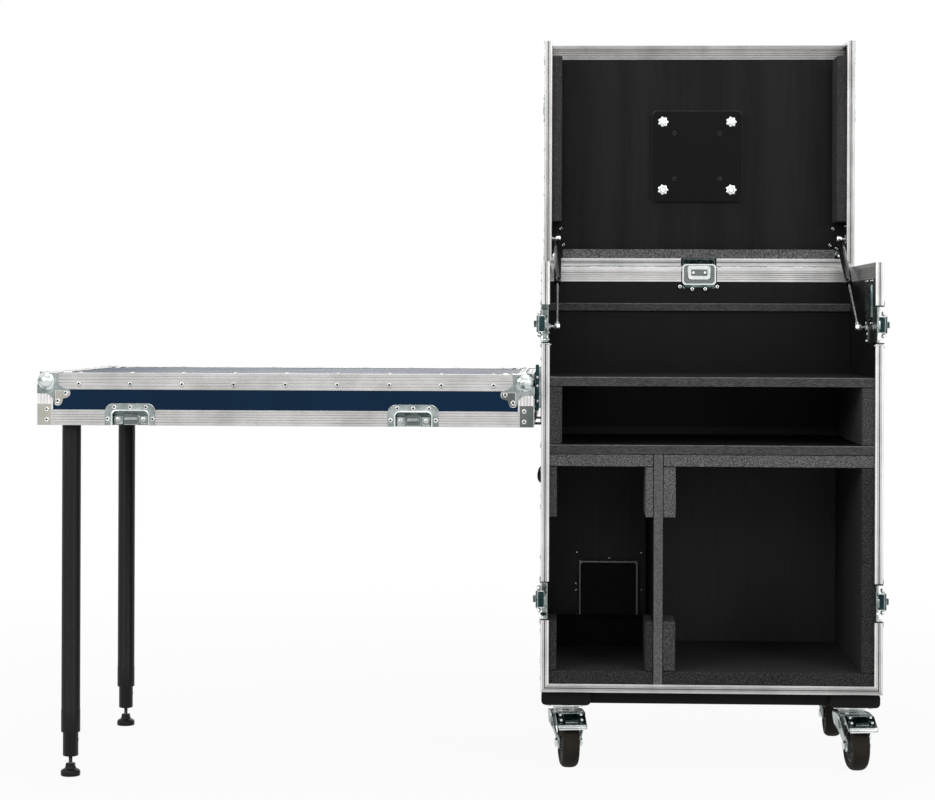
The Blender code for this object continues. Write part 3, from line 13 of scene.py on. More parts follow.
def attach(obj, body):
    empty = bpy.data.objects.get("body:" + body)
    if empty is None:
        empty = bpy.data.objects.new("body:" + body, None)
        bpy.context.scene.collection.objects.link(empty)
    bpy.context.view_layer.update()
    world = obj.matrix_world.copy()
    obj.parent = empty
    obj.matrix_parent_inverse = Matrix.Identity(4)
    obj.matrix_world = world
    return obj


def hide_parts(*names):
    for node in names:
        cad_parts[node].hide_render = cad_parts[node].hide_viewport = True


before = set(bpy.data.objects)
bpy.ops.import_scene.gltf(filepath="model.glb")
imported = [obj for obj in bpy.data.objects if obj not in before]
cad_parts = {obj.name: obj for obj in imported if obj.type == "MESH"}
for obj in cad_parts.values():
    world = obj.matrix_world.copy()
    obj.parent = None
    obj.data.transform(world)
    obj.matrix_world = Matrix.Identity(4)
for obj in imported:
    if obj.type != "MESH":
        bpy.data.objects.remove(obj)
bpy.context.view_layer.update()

X = Vector((1.0, 0.0, 0.0))
Y = Vector((0.0, 1.0, 0.0))
Z = Vector((0.0, 0.0, 1.0))
WAYS = (-1, 1)
SIDES = (("left", -1), ("right", 1))

# Driving sizes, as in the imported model
HALF = 0.336
DEPTH = 0.49
BOTTOM = 0.156
TOP = 1.006
SKIN = 0.0015
PLY = 0.009
LEAF = 0.0012
SHEET = 0.0012
GAP = 0.0003
RIM_FACE = 0.0165
RIM_BAR = 0.008
LEAF_LONG = 0.03
LID_TOP = 0.108
LID_FRONT = -0.493
LID_BACK = -0.003
LID_GAP = 0.0005
T_LEFT, T_RIGHT = -1.307, -0.349
T_FRONT, T_BACK = -0.14, 0.532
T_LOW, T_TOP = 0.684, 0.785
T_SIDES = ((T_FRONT, -1), (T_BACK, 1))
T_ENDS = ((T_LEFT, -1), (T_RIGHT, 1))
LATCHES = (0.336, 0.883)
LID_LATCH = (0.147, 0.929)
LATCH_HALF = 0.038
LATCH_DEPTH = 0.0135
KEEPERS = (T_LEFT + 0.18, T_LEFT + 0.727)
HANDLE_Y, HANDLE_Z = 0.245, 0.613
GRIP_DROP = 0.043
STUD_Y, STUD_Z = 0.168, 0.877
STRUT_LENGTH = 0.394828
AXLE = (0.0, -0.038, 0.05)
FLOOR_FOAM_LOW, FLOOR_FOAM_TOP = 0.1698, 0.1978

# Metal sinks this far into the face that it lies on
SINK = 0.0002
# Inner faces of the side walls and of the rear wall, and the sides of what stands between them
WALL_INSIDE = 0.3255
REAR_INSIDE = 0.4795
INNER = 0.3252
BOARD_FRONT, BOARD_BACK = 0.0083, 0.4792
# Where an edge angle stops short of a ball corner, and where a rim's leaf does
CLEAR = 0.0365
LEAF_CLEAR = 0.0303

CASE = Matrix.Translation((0.48035, -0.2305, 0.0))
LID = Matrix.Translation((0.48035, 0.2625, 1.006)) @ Matrix.Rotation(math.radians(-90.0), 4, "X")
QUARTER = Matrix.Rotation(math.radians(90.0), 4, "Z")
QUARTER_BACK = Matrix.Rotation(math.radians(-90.0), 4, "Z")


# ---------- materials


def node_material(name, metallic=0.0, specular=0.5):
    made = bpy.data.materials.new(name)
    made.use_nodes = True
    shader = made.node_tree.nodes["Principled BSDF"]
    shader.inputs["Metallic"].default_value = metallic
    shader.inputs["Specular IOR Level"].default_value = specular
    return made, made.node_tree


def wire(tree, node, sources):
    """Brings sockets or numbers to a node's inputs."""
    for key, value in sources.items():
        if isinstance(value, bpy.types.NodeSocket):
            tree.links.new(value, node.inputs[key])
        else:
            node.inputs[key].default_value = value


def add_node(tree, kind, sources=None, **settings):
    node = tree.nodes.new("ShaderNode" + kind)
    for key, value in settings.items():
        setattr(node, key, value)
    wire(tree, node, sources or {})
    return node


def combine(tree, operation, *values):
    """Result of a math node over sockets or numbers."""
    return add_node(tree, "Math", dict(enumerate(values)), operation=operation).outputs[0]


def coordinates(tree, scale=(1.0, 1.0, 1.0)):
    where = add_node(tree, "TexCoord").outputs["Object"]
    return add_node(tree, "Mapping", {"Vector": where, "Scale": scale}).outputs["Vector"]


def noise_value(tree, vector, scale, detail=4.0, roughness=0.6):
    sources = {"Vector": vector, "Scale": scale, "Detail": detail, "Roughness": roughness}
    return add_node(tree, "TexNoise", sources).outputs["Fac"]


def ramp(tree, value, *stops):
    """Colours along a value; a single number is a neutral grey."""
    node = add_node(tree, "ValToRGB", {"Fac": value})
    elements = node.color_ramp.elements
    while len(elements) < len(stops):
        elements.new(0.5)
    for element, (place, colour) in zip(elements, stops):
        element.position = place
        element.color = (*colour, 1.0) if isinstance(colour, tuple) else (colour, colour, colour, 1.0)
    return node.outputs["Color"]


def levels(tree, value, low, high, start=0.3, end=0.7):
    sources = {"Value": value, "From Min": start, "From Max": end, "To Min": low, "To Max": high}
    return add_node(tree, "MapRange", sources).outputs["Result"]


def mix_colour(tree, factor, first, second):
    return add_node(tree, "Mix", {"Factor": factor, 6: first, 7: second}, data_type="RGBA").outputs[2]


def surface(made, tree, tone, roughness, height, strength, distance):
    """Brings tone, gloss and a fine relief to the material's shader."""
    relief = add_node(tree, "Bump", {"Strength": strength, "Distance": distance, "Height": height})
    wire(tree, tree.nodes["Principled BSDF"], {
        "Base Color": tone, "Roughness": roughness, "Normal": relief.outputs["Normal"]})
    return made


def metal(name, dark, light, rough, grain=120.0, wear=0.05, cloud=14.0, spread=(0.32, 0.62), scale=(1, 1, 1)):
    """Metal with drawn grain, cloudy tone and roughness that varies."""
    made, tree = node_material(name, 1.0)
    fine = noise_value(tree, coordinates(tree, scale), grain, 3.0)
    broad = noise_value(tree, coordinates(tree), cloud, 4.0)
    tone = ramp(tree, broad, (spread[0], dark), (spread[1], light))
    return surface(made, tree, tone, levels(tree, fine, rough - wear, rough + wear), fine, 0.03, 0.0002)


def plain(name, dark, light, rough, scale, relief, specular=0.25, stretch=(1, 1, 1)):
    """Painted, moulded or rubber surface with mottled tone and a fine tooth."""
    made, tree = node_material(name, specular=specular)
    value = noise_value(tree, coordinates(tree, stretch), scale, 6.0)
    fine = noise_value(tree, coordinates(tree), scale * 9.0, 2.0)
    tone = ramp(tree, value, (0.3, dark), (0.7, light))
    return surface(made, tree, tone, levels(tree, value, *rough), fine, relief, 0.0005)


def foam_material(name, tone, speckle=0.6):
    """Closed-cell foam: pale specks and dark pores on charcoal; speckle is their share."""
    made, tree = node_material(name, specular=0.08)

    def grey(value):
        return (value * tone, value * tone, value * tone * 1.01)

    vector = coordinates(tree)
    cells = add_node(tree, "TexVoronoi", {"Scale": 300.0, "Vector": vector}, feature="F1")
    specks = noise_value(tree, vector, 370.0, 4.0, 0.8)
    speckled = ramp(tree, specks, (0.4, grey(0.014)), (0.5, grey(0.055)), (0.61, grey(0.23)))
    flat = ramp(tree, noise_value(tree, vector, 9.0, 3.0), (0.3, grey(0.042)), (0.7, grey(0.066)))
    tone = mix_colour(tree, speckle, flat, speckled)
    return surface(made, tree, tone, 0.92, cells.outputs["Distance"], 0.5, 0.0012)


def grained_ply(tree, along, board_along, board_scale, board_detail, shares):
    """Value of long grain and of faint boards together, and that of the grain alone."""
    grain = noise_value(tree, coordinates(tree, along), 14.0, 8.0, 0.65)
    boards = noise_value(tree, coordinates(tree, board_along), board_scale, board_detail)
    low, high = (levels(tree, value, 0.0, share) for value, share in zip((grain, boards), shares))
    return combine(tree, "ADD", low, high), grain


def ply_material(name, dark, light):
    """Black stained birch plywood: grain along X, faint boards and a dull sealed face."""
    made, tree = node_material(name, specular=0.08)
    stretch = (0.5, 9.0, 9.0)
    value, grain = grained_ply(tree, stretch, stretch, 1.2, 2.0, (0.5, 0.5))
    tone = ramp(tree, value, (0.25, dark), (0.85, light))
    return surface(made, tree, tone, levels(tree, grain, 0.55, 0.8), grain, 0.25, 0.0006)


def skin_material(name, faces, boards=False, low_painted_light=None):
    """Navy laminate where a point lies beyond any (axis, limit, way), and black ply elsewhere. A low tone
    factor paints the ply below the lower shelf lighter, as painted light in the bays."""
    made, tree = node_material(name, specular=0.1)
    vector = coordinates(tree)
    split = add_node(tree, "SeparateXYZ", {0: vector}).outputs
    broad = noise_value(tree, vector, 6.0, 4.0)
    navy = ramp(tree, broad, (0.3, (0.0012, 0.016, 0.043)), (0.7, (0.002, 0.021, 0.057)))
    if boards:
        value, grain = grained_ply(tree, (9.0, 9.0, 0.6), (9.0, 9.0, 0.15), 1.6, 1.0, (0.45, 0.55))
        black = ramp(tree, value, (0.25, (0.004, 0.004, 0.0043)), (0.8, (0.011, 0.0106, 0.011)))
    else:
        grain = noise_value(tree, coordinates(tree, (9.0, 9.0, 0.5)), 14.0, 8.0, 0.65)
        black = ramp(tree, grain, (0.3, (0.0058, 0.0058, 0.006)), (0.7, (0.0082, 0.008, 0.0082)))
    # Painted light: the ply below the lower shelf is made lighter
    if low_painted_light:
        painted_light_ply = ramp(tree, grain, *(
            (place, tuple(value * low_painted_light for value in colour))
            for place, colour in ((0.3, (0.0065, 0.0065, 0.0067)), (0.7, (0.0085, 0.0083, 0.0085)))))
        black = mix_colour(tree, combine(tree, "LESS_THAN", split[2], 0.66), black, painted_light_ply)
    outside = 0.0
    for axis, limit, way in faces:
        beyond = combine(tree, "GREATER_THAN" if way > 0 else "LESS_THAN", split[axis], limit)
        outside = combine(tree, "MAXIMUM", outside, beyond)
    tone = mix_colour(tree, outside, black, navy)
    tooth = noise_value(tree, vector, 900.0, 3.0)
    return surface(made, tree, tone, levels(tree, broad, 0.34, 0.46), tooth, 0.12, 0.0004)


# Drawn aluminium for each grain direction. Each copy also has its own tone as painted light: bars along Z are
# painted lightest and those along Y darkest, though the metal is the same.
ALU = {}
ALU_PAINTED_SHADE = {}
for letter, stretch, low, high in (
        ("X", (0.04, 6.0, 6.0), 0.4, 0.53), ("Y", (6.0, 0.04, 6.0), 0.34, 0.46),
        ("Z", (6.0, 6.0, 0.04), 0.62, 0.78), ("lid", (6.0, 6.0, 0.04), 0.38, 0.5)):
    ALU[letter] = metal(
        "aluminium_drawn_painted_light_" + letter, (low, low * 0.988, low * 0.978), (high, high * 0.988, high * 0.981), 0.34,
        60.0, 0.07, scale=stretch)
    # Copies with painted shade, for grooves and shaded faces
    ALU_PAINTED_SHADE[letter] = metal(
        "aluminium_painted_shade_" + letter, (0.2, 0.196, 0.192), (0.28, 0.275, 0.27), 0.42, 60.0, 0.07, scale=stretch)
ZINC = metal("zinc_plate", (0.19, 0.228, 0.224), (0.385, 0.425, 0.42), 0.27, cloud=45.0, spread=(0.38, 0.62))
# Dark zinc: the pedal's own plating, and painted shade in dishes and sockets
ZINC_DARK_AND_SHADE = metal(
    "zinc_dark_and_painted_shade", (0.045, 0.072, 0.073), (0.15, 0.19, 0.188), 0.25, cloud=60.0, spread=(0.4, 0.62))
# Ball plating: its broad dark and light patches are painted reflection
BALL_PLATING_REFLECTED = metal(
    "ball_plating_painted_reflection", (0.11, 0.15, 0.15), (0.7, 0.74, 0.73), 0.13, wear=0.03, cloud=58.0, spread=(0.36, 0.54))
CROWN = metal("crown_plate", (0.74, 0.76, 0.76), (0.92, 0.93, 0.93), 0.3)
TEAL = metal("teal_recess", (0.008, 0.022, 0.024), (0.028, 0.056, 0.06), 0.3, cloud=60.0)
STEEL = metal("bright_steel", (0.52, 0.55, 0.55), (0.72, 0.75, 0.745), 0.2, 160.0)
RIVET = metal("rivet_metal", (0.42, 0.425, 0.42), (0.64, 0.64, 0.63), 0.22, 160.0)
BEIGE_PLATE = metal("beige_brace", (0.27, 0.26, 0.225), (0.38, 0.368, 0.325), 0.42, wear=0.06)
GREY_PLATE = metal("grey_brace", (0.085, 0.098, 0.096), (0.15, 0.166, 0.162), 0.42, wear=0.06)
# Darker aluminium for the rims' seat groove: painted shade
SEAT_PAINTED_SHADE = metal("aluminium_seat_painted_shade", (0.115, 0.113, 0.111), (0.19, 0.187, 0.183), 0.45, 60.0, 0.06)
# Near-black finish of the discs in rivet and screw holes: painted shade
HOLE_SHADE = plain("painted_hole_shade", 0.002, 0.005, (0.6, 0.8), 60.0, 0.1, 0.05)
# Foam copies by place: the pale one is painted light on upper pads and the lid's rear strip, the dark and black
# ones painted shade on low pads and at the back
FOAM = foam_material("foam_speckled", 0.9)
FOAM_LIT = foam_material("foam_pale", 1.75)
FOAM_SHADED = foam_material("foam_dark", 0.5)
FOAM_SMOOTH = foam_material("foam_smooth", 0.8, 0.25)
FOAM_DEEP_SHADE = foam_material("foam_black", 0.22, 0.3)
PLY_X = ply_material("black_ply_x", (0.005, 0.005, 0.0053), (0.014, 0.0135, 0.0138))
EDGE = plain(
    "ply_edge", (0.022, 0.022, 0.0225), (0.12, 0.12, 0.121), (0.7, 0.9), 210.0, 0.5, 0.08, (0.6, 1, 3))
EDGE_LIGHT = plain(
    "ply_edge_top_strip", (0.09, 0.09, 0.091), (0.24, 0.24, 0.242), (0.7, 0.9), 160.0, 0.3, 0.1, (0.4, 1, 1))
EDGE_SPECKLED = plain(
    "divider_edge", (0.05, 0.05, 0.0505), (0.2, 0.2, 0.201), (0.7, 0.9), 260.0, 0.4, 0.08, (1, 1, 1.5))
# The cable dish's near-black sheet is painted shade and its pale lip tube a painted highlight
LINING_SHADE = plain("dish_shade_sheet", (0.011, 0.011, 0.0114), (0.024, 0.0238, 0.024), (0.6, 0.8), 60.0, 0.2, 0.1)
LIP_HIGHLIGHT = plain("lining_lip_painted_highlight", (0.6, 0.6, 0.59), (0.78, 0.78, 0.77), (0.4, 0.55), 120.0, 0.1, 0.3)
BOARD = plain("board_paint", (0.0035, 0.0035, 0.004), (0.0085, 0.0085, 0.009), (0.5, 0.7), 40.0, 0.25, 0.12)
POWDER = plain("powder_coat", (0.0036, 0.0036, 0.0037), (0.0072, 0.007, 0.0069), (0.36, 0.48), 70.0, 0.25, 0.2)
PLATE_BLACK = plain(
    "plate_black", (0.0022, 0.0022, 0.0024), (0.004, 0.004, 0.0042), (0.34, 0.46), 50.0, 0.15, 0.08)
# Lighter finish for the screen plate's bevel and washers: painted highlight
PLATE_EDGE_HIGHLIGHT = plain("plate_edge_painted_highlight", (0.04, 0.04, 0.041), (0.07, 0.07, 0.071), (0.3, 0.4), 50.0, 0.1, 0.3)
TYRE = plain("tyre_rubber", (0.005, 0.0042, 0.0036), (0.034, 0.027, 0.021), (0.6, 0.85), 26.0, 0.45, 0.15)
HUB = plain("wheel_hub", 0.05, 0.095, (0.45, 0.6), 60.0, 0.2)
GRIP = plain("grip_plastic", 0.005, 0.01, (0.4, 0.55), 160.0, 0.35, 0.2)
STRUT_BLACK = plain("strut_paint", (0.004, 0.004, 0.0045), (0.01, 0.01, 0.0105), (0.14, 0.22), 60.0, 0.1, 0.6)

# Finishes of the plated pieces, and the face indices that pick them. The dark zinc (SHADED) is painted shade on
# dish walls and floors and in ball sockets, and the pedal's own dark plating. Bright steel (BRIGHT) is real
# metal and also a painted highlight on lips, rims and bevels, and the crown plate (WHITE) is a painted
# highlight on bright borders.
PLATED = [ZINC, RIVET, HOLE_SHADE, ZINC_DARK_AND_SHADE, STEEL, BALL_PLATING_REFLECTED, GREY_PLATE, BEIGE_PLATE, TEAL, CROWN]
FLAT, HEAD, PIT_SHADE, SHADED, BRIGHT, MIRROR, GREY, BEIGE, DEEP, WHITE = range(len(PLATED))


# ---------- geometry helpers


def emit(name, bm, matrix, body, finish, replaced=(), smooth=38.0, bevel=0.0, segments=2):
    """Makes the mesh an object that rides on a body; several finishes follow the face indices."""
    bmesh.ops.recalc_face_normals(bm, faces=bm.faces)
    mesh = bpy.data.meshes.new(name)
    bm.to_mesh(mesh)
    bm.free()
    mesh.transform(matrix)
    if matrix.determinant() < 0:
        mesh.flip_normals()
    for each in finish if isinstance(finish, (list, tuple)) else [finish]:
        mesh.materials.append(each)
    mesh.shade_smooth()
    mesh.set_sharp_from_angle(angle=math.radians(smooth))
    item = bpy.data.objects.new(name, mesh)
    bpy.context.scene.collection.objects.link(item)
    if bevel:
        edge = item.modifiers.new("edge", "BEVEL")
        edge.width = bevel
        edge.segments = segments
        edge.limit_method = "ANGLE"
        edge.angle_limit = math.radians(35.0)
    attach(item, body)
    if replaced:
        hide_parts(*replaced)
    return item


def plated(name, bm, matrix=CASE, body="case", replaced=(), smooth=30.0, bevel=0.0):
    """Zinc-plated piece that may use every plated finish."""
    return emit(name, bm, matrix, body, PLATED, replaced, smooth, bevel)


def loft(bm, rings, index=0, caps=True, bands=None, sides=None):
    """Skin over rings of points of the same length; bands and sides give single strips their own finish."""
    rows = [[bm.verts.new(point) for point in ring] for ring in rings]
    count = len(rows[0])
    for number, (low, high) in enumerate(zip(rows, rows[1:])):
        for step in range(count):
            after = (step + 1) % count
            face = bm.faces.new((low[step], low[after], high[after], high[step]))
            face.material_index = (bands or {}).get(number, index)
            if sides and step in sides:
                face.material_index = sides[step]
    if caps:
        bm.faces.new(rows[0][::-1]).material_index = index
        bm.faces.new(rows[-1]).material_index = index


def prism(bm, shape, axis, ends, index=0):
    """Skin of an outline that is drawn out along one axis between two ends."""
    loft(bm, [[(*point[:axis], end, *point[axis:]) for point in shape] for end in ends], index)


def circle(count):
    """Angles of evenly spread points."""
    return [2 * math.pi * step / count for step in range(count)]


def basis(direction):
    direction = Vector(direction).normalized()
    helper = X if abs(direction.x) < 0.9 else Y
    side = direction.cross(helper).normalized()
    return side, direction.cross(side).normalized(), direction


def lathe(bm, origin, direction, profile, count=24, index=0, caps=True):
    """Turned piece: profile holds (radius, height) along the direction."""
    origin = Vector(origin)
    first, second, axis = basis(direction)
    loft(bm, [[
        origin + axis * height + (first * math.cos(a) + second * math.sin(a)) * max(radius, 0.00005)
        for a in circle(count)] for radius, height in profile], index, caps)


def rod(bm, start, end, radius, count=20, index=0, chamfer=0.0):
    start = Vector(start)
    end = Vector(end)
    length = (end - start).length
    profile = [(radius, 0.0), (radius, length)]
    if chamfer:
        profile = [
            (radius - chamfer, 0.0), (radius, chamfer), (radius, length - chamfer), (radius - chamfer, length)]
    lathe(bm, start, end - start, profile, count, index)


def block(bm, low, high, index=0):
    made = bmesh.ops.create_cube(bm, size=1.0)
    for vert in made["verts"]:
        vert.co = [high[axis] if vert.co[axis] > 0 else low[axis] for axis in range(3)]
        for face in vert.link_faces:
            face.material_index = index


def ball(bm, centre, radius, index=0, u=20, v=14):
    made = bmesh.ops.create_uvsphere(
        bm, u_segments=u, v_segments=v, radius=radius, matrix=Matrix.Translation(centre))
    for vert in made["verts"]:
        for face in vert.link_faces:
            face.material_index = index


def rounded(low_u, high_u, low_v, high_v, radius, steps=5):
    points = []
    corners = ((high_u, high_v, 0), (low_u, high_v, 90), (low_u, low_v, 180), (high_u, low_v, 270))
    for u, v, start in corners:
        cu = u - math.copysign(radius, u - (low_u + high_u) / 2)
        cv = v - math.copysign(radius, v - (low_v + high_v) / 2)
        for step in range(steps + 1):
            angle = math.radians(start + 90.0 * step / steps)
            points.append((cu + radius * math.cos(angle), cv + radius * math.sin(angle)))
    return points


def inset(points, amount):
    """An outline drawn in towards its middle."""
    middle = Vector((sum(p[0] for p in points) / len(points), sum(p[1] for p in points) / len(points)))
    return [tuple(Vector(p) - (Vector(p) - middle).normalized() * amount) for p in points]


def plate(bm, points, thickness, frame_matrix, index=0, edge=0.0, rim=None):
    """Flat plate of an outline in a (u, v, out) frame; its back lies at out = 0, and rim finishes its bevel,
    mostly with a painted highlight.
    """
    rings = [(points, 0.0), (points, thickness - edge)]
    if edge:
        rings.append((inset(points, edge), thickness))
    bands = {1: rim} if rim is not None else None
    loft(bm, [[frame_matrix @ Vector((u, v, w)) for u, v in ring] for ring, w in rings], index, bands=bands)


def painted_highlight_edged(bm, points, high, base, index, border=0.0016):
    """A plate whose face is edged with a flat border of bright crown plate: a painted highlight."""
    plate(bm, points, high - 0.0003, base, WHITE, 0.0003)
    plate(bm, inset(points, border), high, base, index, 0.0002)


def rivet(bm, place, out, radius=0.0048, rise=0.0017, index=0, hole=1):
    """Domed pop rivet whose sunk middle is a thin disc; that disc mostly takes painted shade for the hole."""
    profile = [
        (radius, -0.0004), (radius * 0.98, rise * 0.35), (radius * 0.82, rise * 0.8), (radius * 0.62, rise),
        (radius * 0.46, rise * 0.9), (radius * 0.4, rise * 0.45)]
    lathe(bm, place, out, profile, 14, index)
    middle = Vector(place) + Vector(out) * rise * 0.42
    lathe(bm, middle, out, [(radius * 0.42, 0.0), (radius * 0.3, 0.0002)], 10, hole)


def sheet_rivets(bm, place, spots, radius=0.004, rise=0.0015, height=SHEET):
    """Rivets through a plated sheet, at (u, v) spots of its frame."""
    out = place.to_3x3() @ Z
    for u, v in spots:
        rivet(bm, place @ Vector((u, v, height)), out, radius, rise, HEAD, PIT_SHADE)


def grid(firsts, seconds):
    return [(first, second) for first in firsts for second in seconds]


# Face indices of an extrusion's faces with painted shade, such as its grooves, and of its seat groove, which
# has darker painted shade
SHADE = 3
SEAT_SHADE = 6


def ribs(face, low, high, count, depth, way):
    """Points up a face from low to high with shallow grooves whose faces carry painted shade, for an
    extrusion's section.
    """
    points = []
    pitch = (high - low) / (count + 0.5)
    half = 0.0009 if high > low else -0.0009
    for number in range(count):
        middle = low + pitch * (number + 0.75)
        points += [
            (face, middle - half), (face + way * depth, middle - half * 0.4, SHADE),
            (face + way * depth, middle + half * 0.4), (face, middle + half)]
    return points


def rim_section(inner_leaf):
    """Section of a rim extrusion; a third value names the finish of the strip after its point."""
    points = [(0.0, 0.0006)]
    points += ribs(0.0, 0.002, LEAF_LONG - 0.001, 5, 0.00045, -1)
    points += [(0.0, LEAF_LONG - 0.0004), (-0.0004, LEAF_LONG), (-LEAF, LEAF_LONG), (-LEAF, RIM_BAR)]
    if inner_leaf:
        near = SKIN + PLY + GAP
        far = near + LEAF
        points += [(-near, RIM_BAR), (-near, 0.031), (-far, 0.031)]
        points += ribs(-far, 0.03, RIM_BAR + 0.001, 4, 0.0004, 1)
        points += [(-far, RIM_BAR)]
    points += [(-RIM_FACE, RIM_BAR), (-RIM_FACE, 0.0006), (-RIM_FACE + 0.0006, 0.0)]
    start, stop = -(RIM_FACE + 0.003) / 2, -(RIM_FACE - 0.003) / 2
    return points + [
        (start - 0.0025, 0.0), (start - 0.0022, 0.0006, SHADE), (start - 0.0016, 0.0006), (start - 0.0013, 0.0),
        (start, 0.0, SEAT_SHADE), (start, 0.003, SEAT_SHADE), (stop, 0.003, SEAT_SHADE), (stop, 0.0), (stop + 0.0013, 0.0),
        (stop + 0.0016, 0.0006, SHADE), (stop + 0.0022, 0.0006), (stop + 0.0025, 0.0), (-0.0006, 0.0)]


def angle_section(leg):
    count = 4
    points = [(0.0, 0.0012)]
    points += ribs(0.0, 0.002, leg - 0.001, count, 0.0004, -1)
    points += [(0.0, leg - 0.0004), (-0.0004, leg), (-LEAF, leg), (-LEAF, LEAF), (-leg, LEAF)]
    points += [(-leg, 0.0004), (-leg + 0.0004, 0.0)]
    for across, depth, *finish in ribs(0.0, -leg + 0.001, -0.002, count, 0.0004, 1):
        points.append((depth, across, *finish))
    points += [(-0.0012, 0.0), (-0.0004, 0.0004)]
    return points


def bar(bm, section, start, end, out, up, mitre_start=0, mitre_end=0, index=0):
    """A straight extrusion; a mitred end shortens towards the inside of its frame."""
    start = Vector(start)
    end = Vector(end)
    along = (end - start).normalized()
    rings = []
    for place, heading, mitre in ((start, along, mitre_start), (end, -along, mitre_end)):
        rings.append([
            place + out * point[0] + up * point[1] + heading * ((-point[0] if mitre else 0.0) + 0.000125)
            for point in section])
    # Strips tagged SHADE take the painted shade copy of the bar's own metal
    tagged = {
        step: point[2] + (index if point[2] == SHADE else 0)
        for step, point in enumerate(section) if len(point) > 2}
    loft(bm, rings, index, sides=tagged)


def dish(bm, mouth, depth, flange, matrix, corner=0.009, open_low=None, shade=SHADED):
    """Pressed dish with rounded corners, rolled lip and tapered walls; out is +Z of its frame. A dish that is
    cut by the edge of its wall ends at open_low. Its walls and floor take the shade finish, painted shade
    unless plain zinc is given, and its rolled lip a painted highlight."""
    low_u, high_u, low_v, high_v = mouth
    lip = 0.0014
    base_u = low_u if open_low is None else open_low - 0.03
    made = bmesh.new()

    def ring(grow, height, corner):
        points = rounded(base_u - grow, high_u + grow, low_v - grow, high_v + grow, corner)
        return [(u, v, height) for u, v in points]

    rings = [
        ring(-0.0045, -depth + SHEET, corner * 0.55), ring(-0.0022, -depth + SHEET + 0.0006, corner * 0.7),
        ring(-0.0013, -depth + SHEET + 0.0028, corner * 0.85), ring(-SHEET * 0.9, -0.0014, corner),
        ring(-SHEET * 0.35, SHEET * 0.75, corner), ring(lip * 0.6, SHEET + 0.0004, corner + lip),
        ring(lip * 1.6, SHEET, corner + lip * 2), ring(flange - 0.0005, SHEET, corner + flange * 0.6),
        ring(flange, SHEET * 0.5, corner + flange * 0.6), ring(flange, 0.0, corner + flange * 0.6),
        ring(0.0, 0.0, corner), ring(0.0, -depth + 0.003, corner * 0.9), ring(-0.0015, -depth, corner * 0.75)]
    # Painted shade on the walls and floor, painted highlight on the rolled lip
    loft(made, rings, bands={0: shade, 1: shade, 2: shade, 3: BRIGHT, 4: BRIGHT, 5: BRIGHT, 7: BRIGHT})
    for face in made.faces:
        if face.calc_center_median().z < -depth + SHEET + 0.001:
            face.material_index = shade
    if open_low is not None:
        parts = made.verts[:] + made.edges[:] + made.faces[:]
        cut = bmesh.ops.bisect_plane(
            made, geom=parts, dist=0.000001, plane_co=(open_low, 0.0, 0.0), plane_no=(-1.0, 0.0, 0.0),
            clear_outer=True)
        edges = [item for item in cut["geom_cut"] if isinstance(item, bmesh.types.BMEdge)]
        bmesh.ops.holes_fill(made, edges=edges, sides=0)
    mesh = bpy.data.meshes.new("dish")
    made.to_mesh(mesh)
    made.free()
    mesh.transform(matrix)
    bm.from_mesh(mesh)
    bpy.data.meshes.remove(mesh)


def axes_frame(u, v, out, origin=(0.0, 0.0, 0.0)):
    """Matrix of a frame with these axes."""
    return Matrix.Translation(origin) @ Matrix((u, v, out)).transposed().to_4x4()


def shifted(place, u, v, out=0.0):
    return place @ Matrix.Translation((u, v, out))


def side_frame(side):
    """(u = back, v = up, out) axes on a side wall's outer metal."""
    return axes_frame(Y, Z, X * side, X * side * (HALF - SINK))


def span(side, near, far):
    """Two distances to one side of the middle, in rising order."""
    return sorted((side * near, side * far))


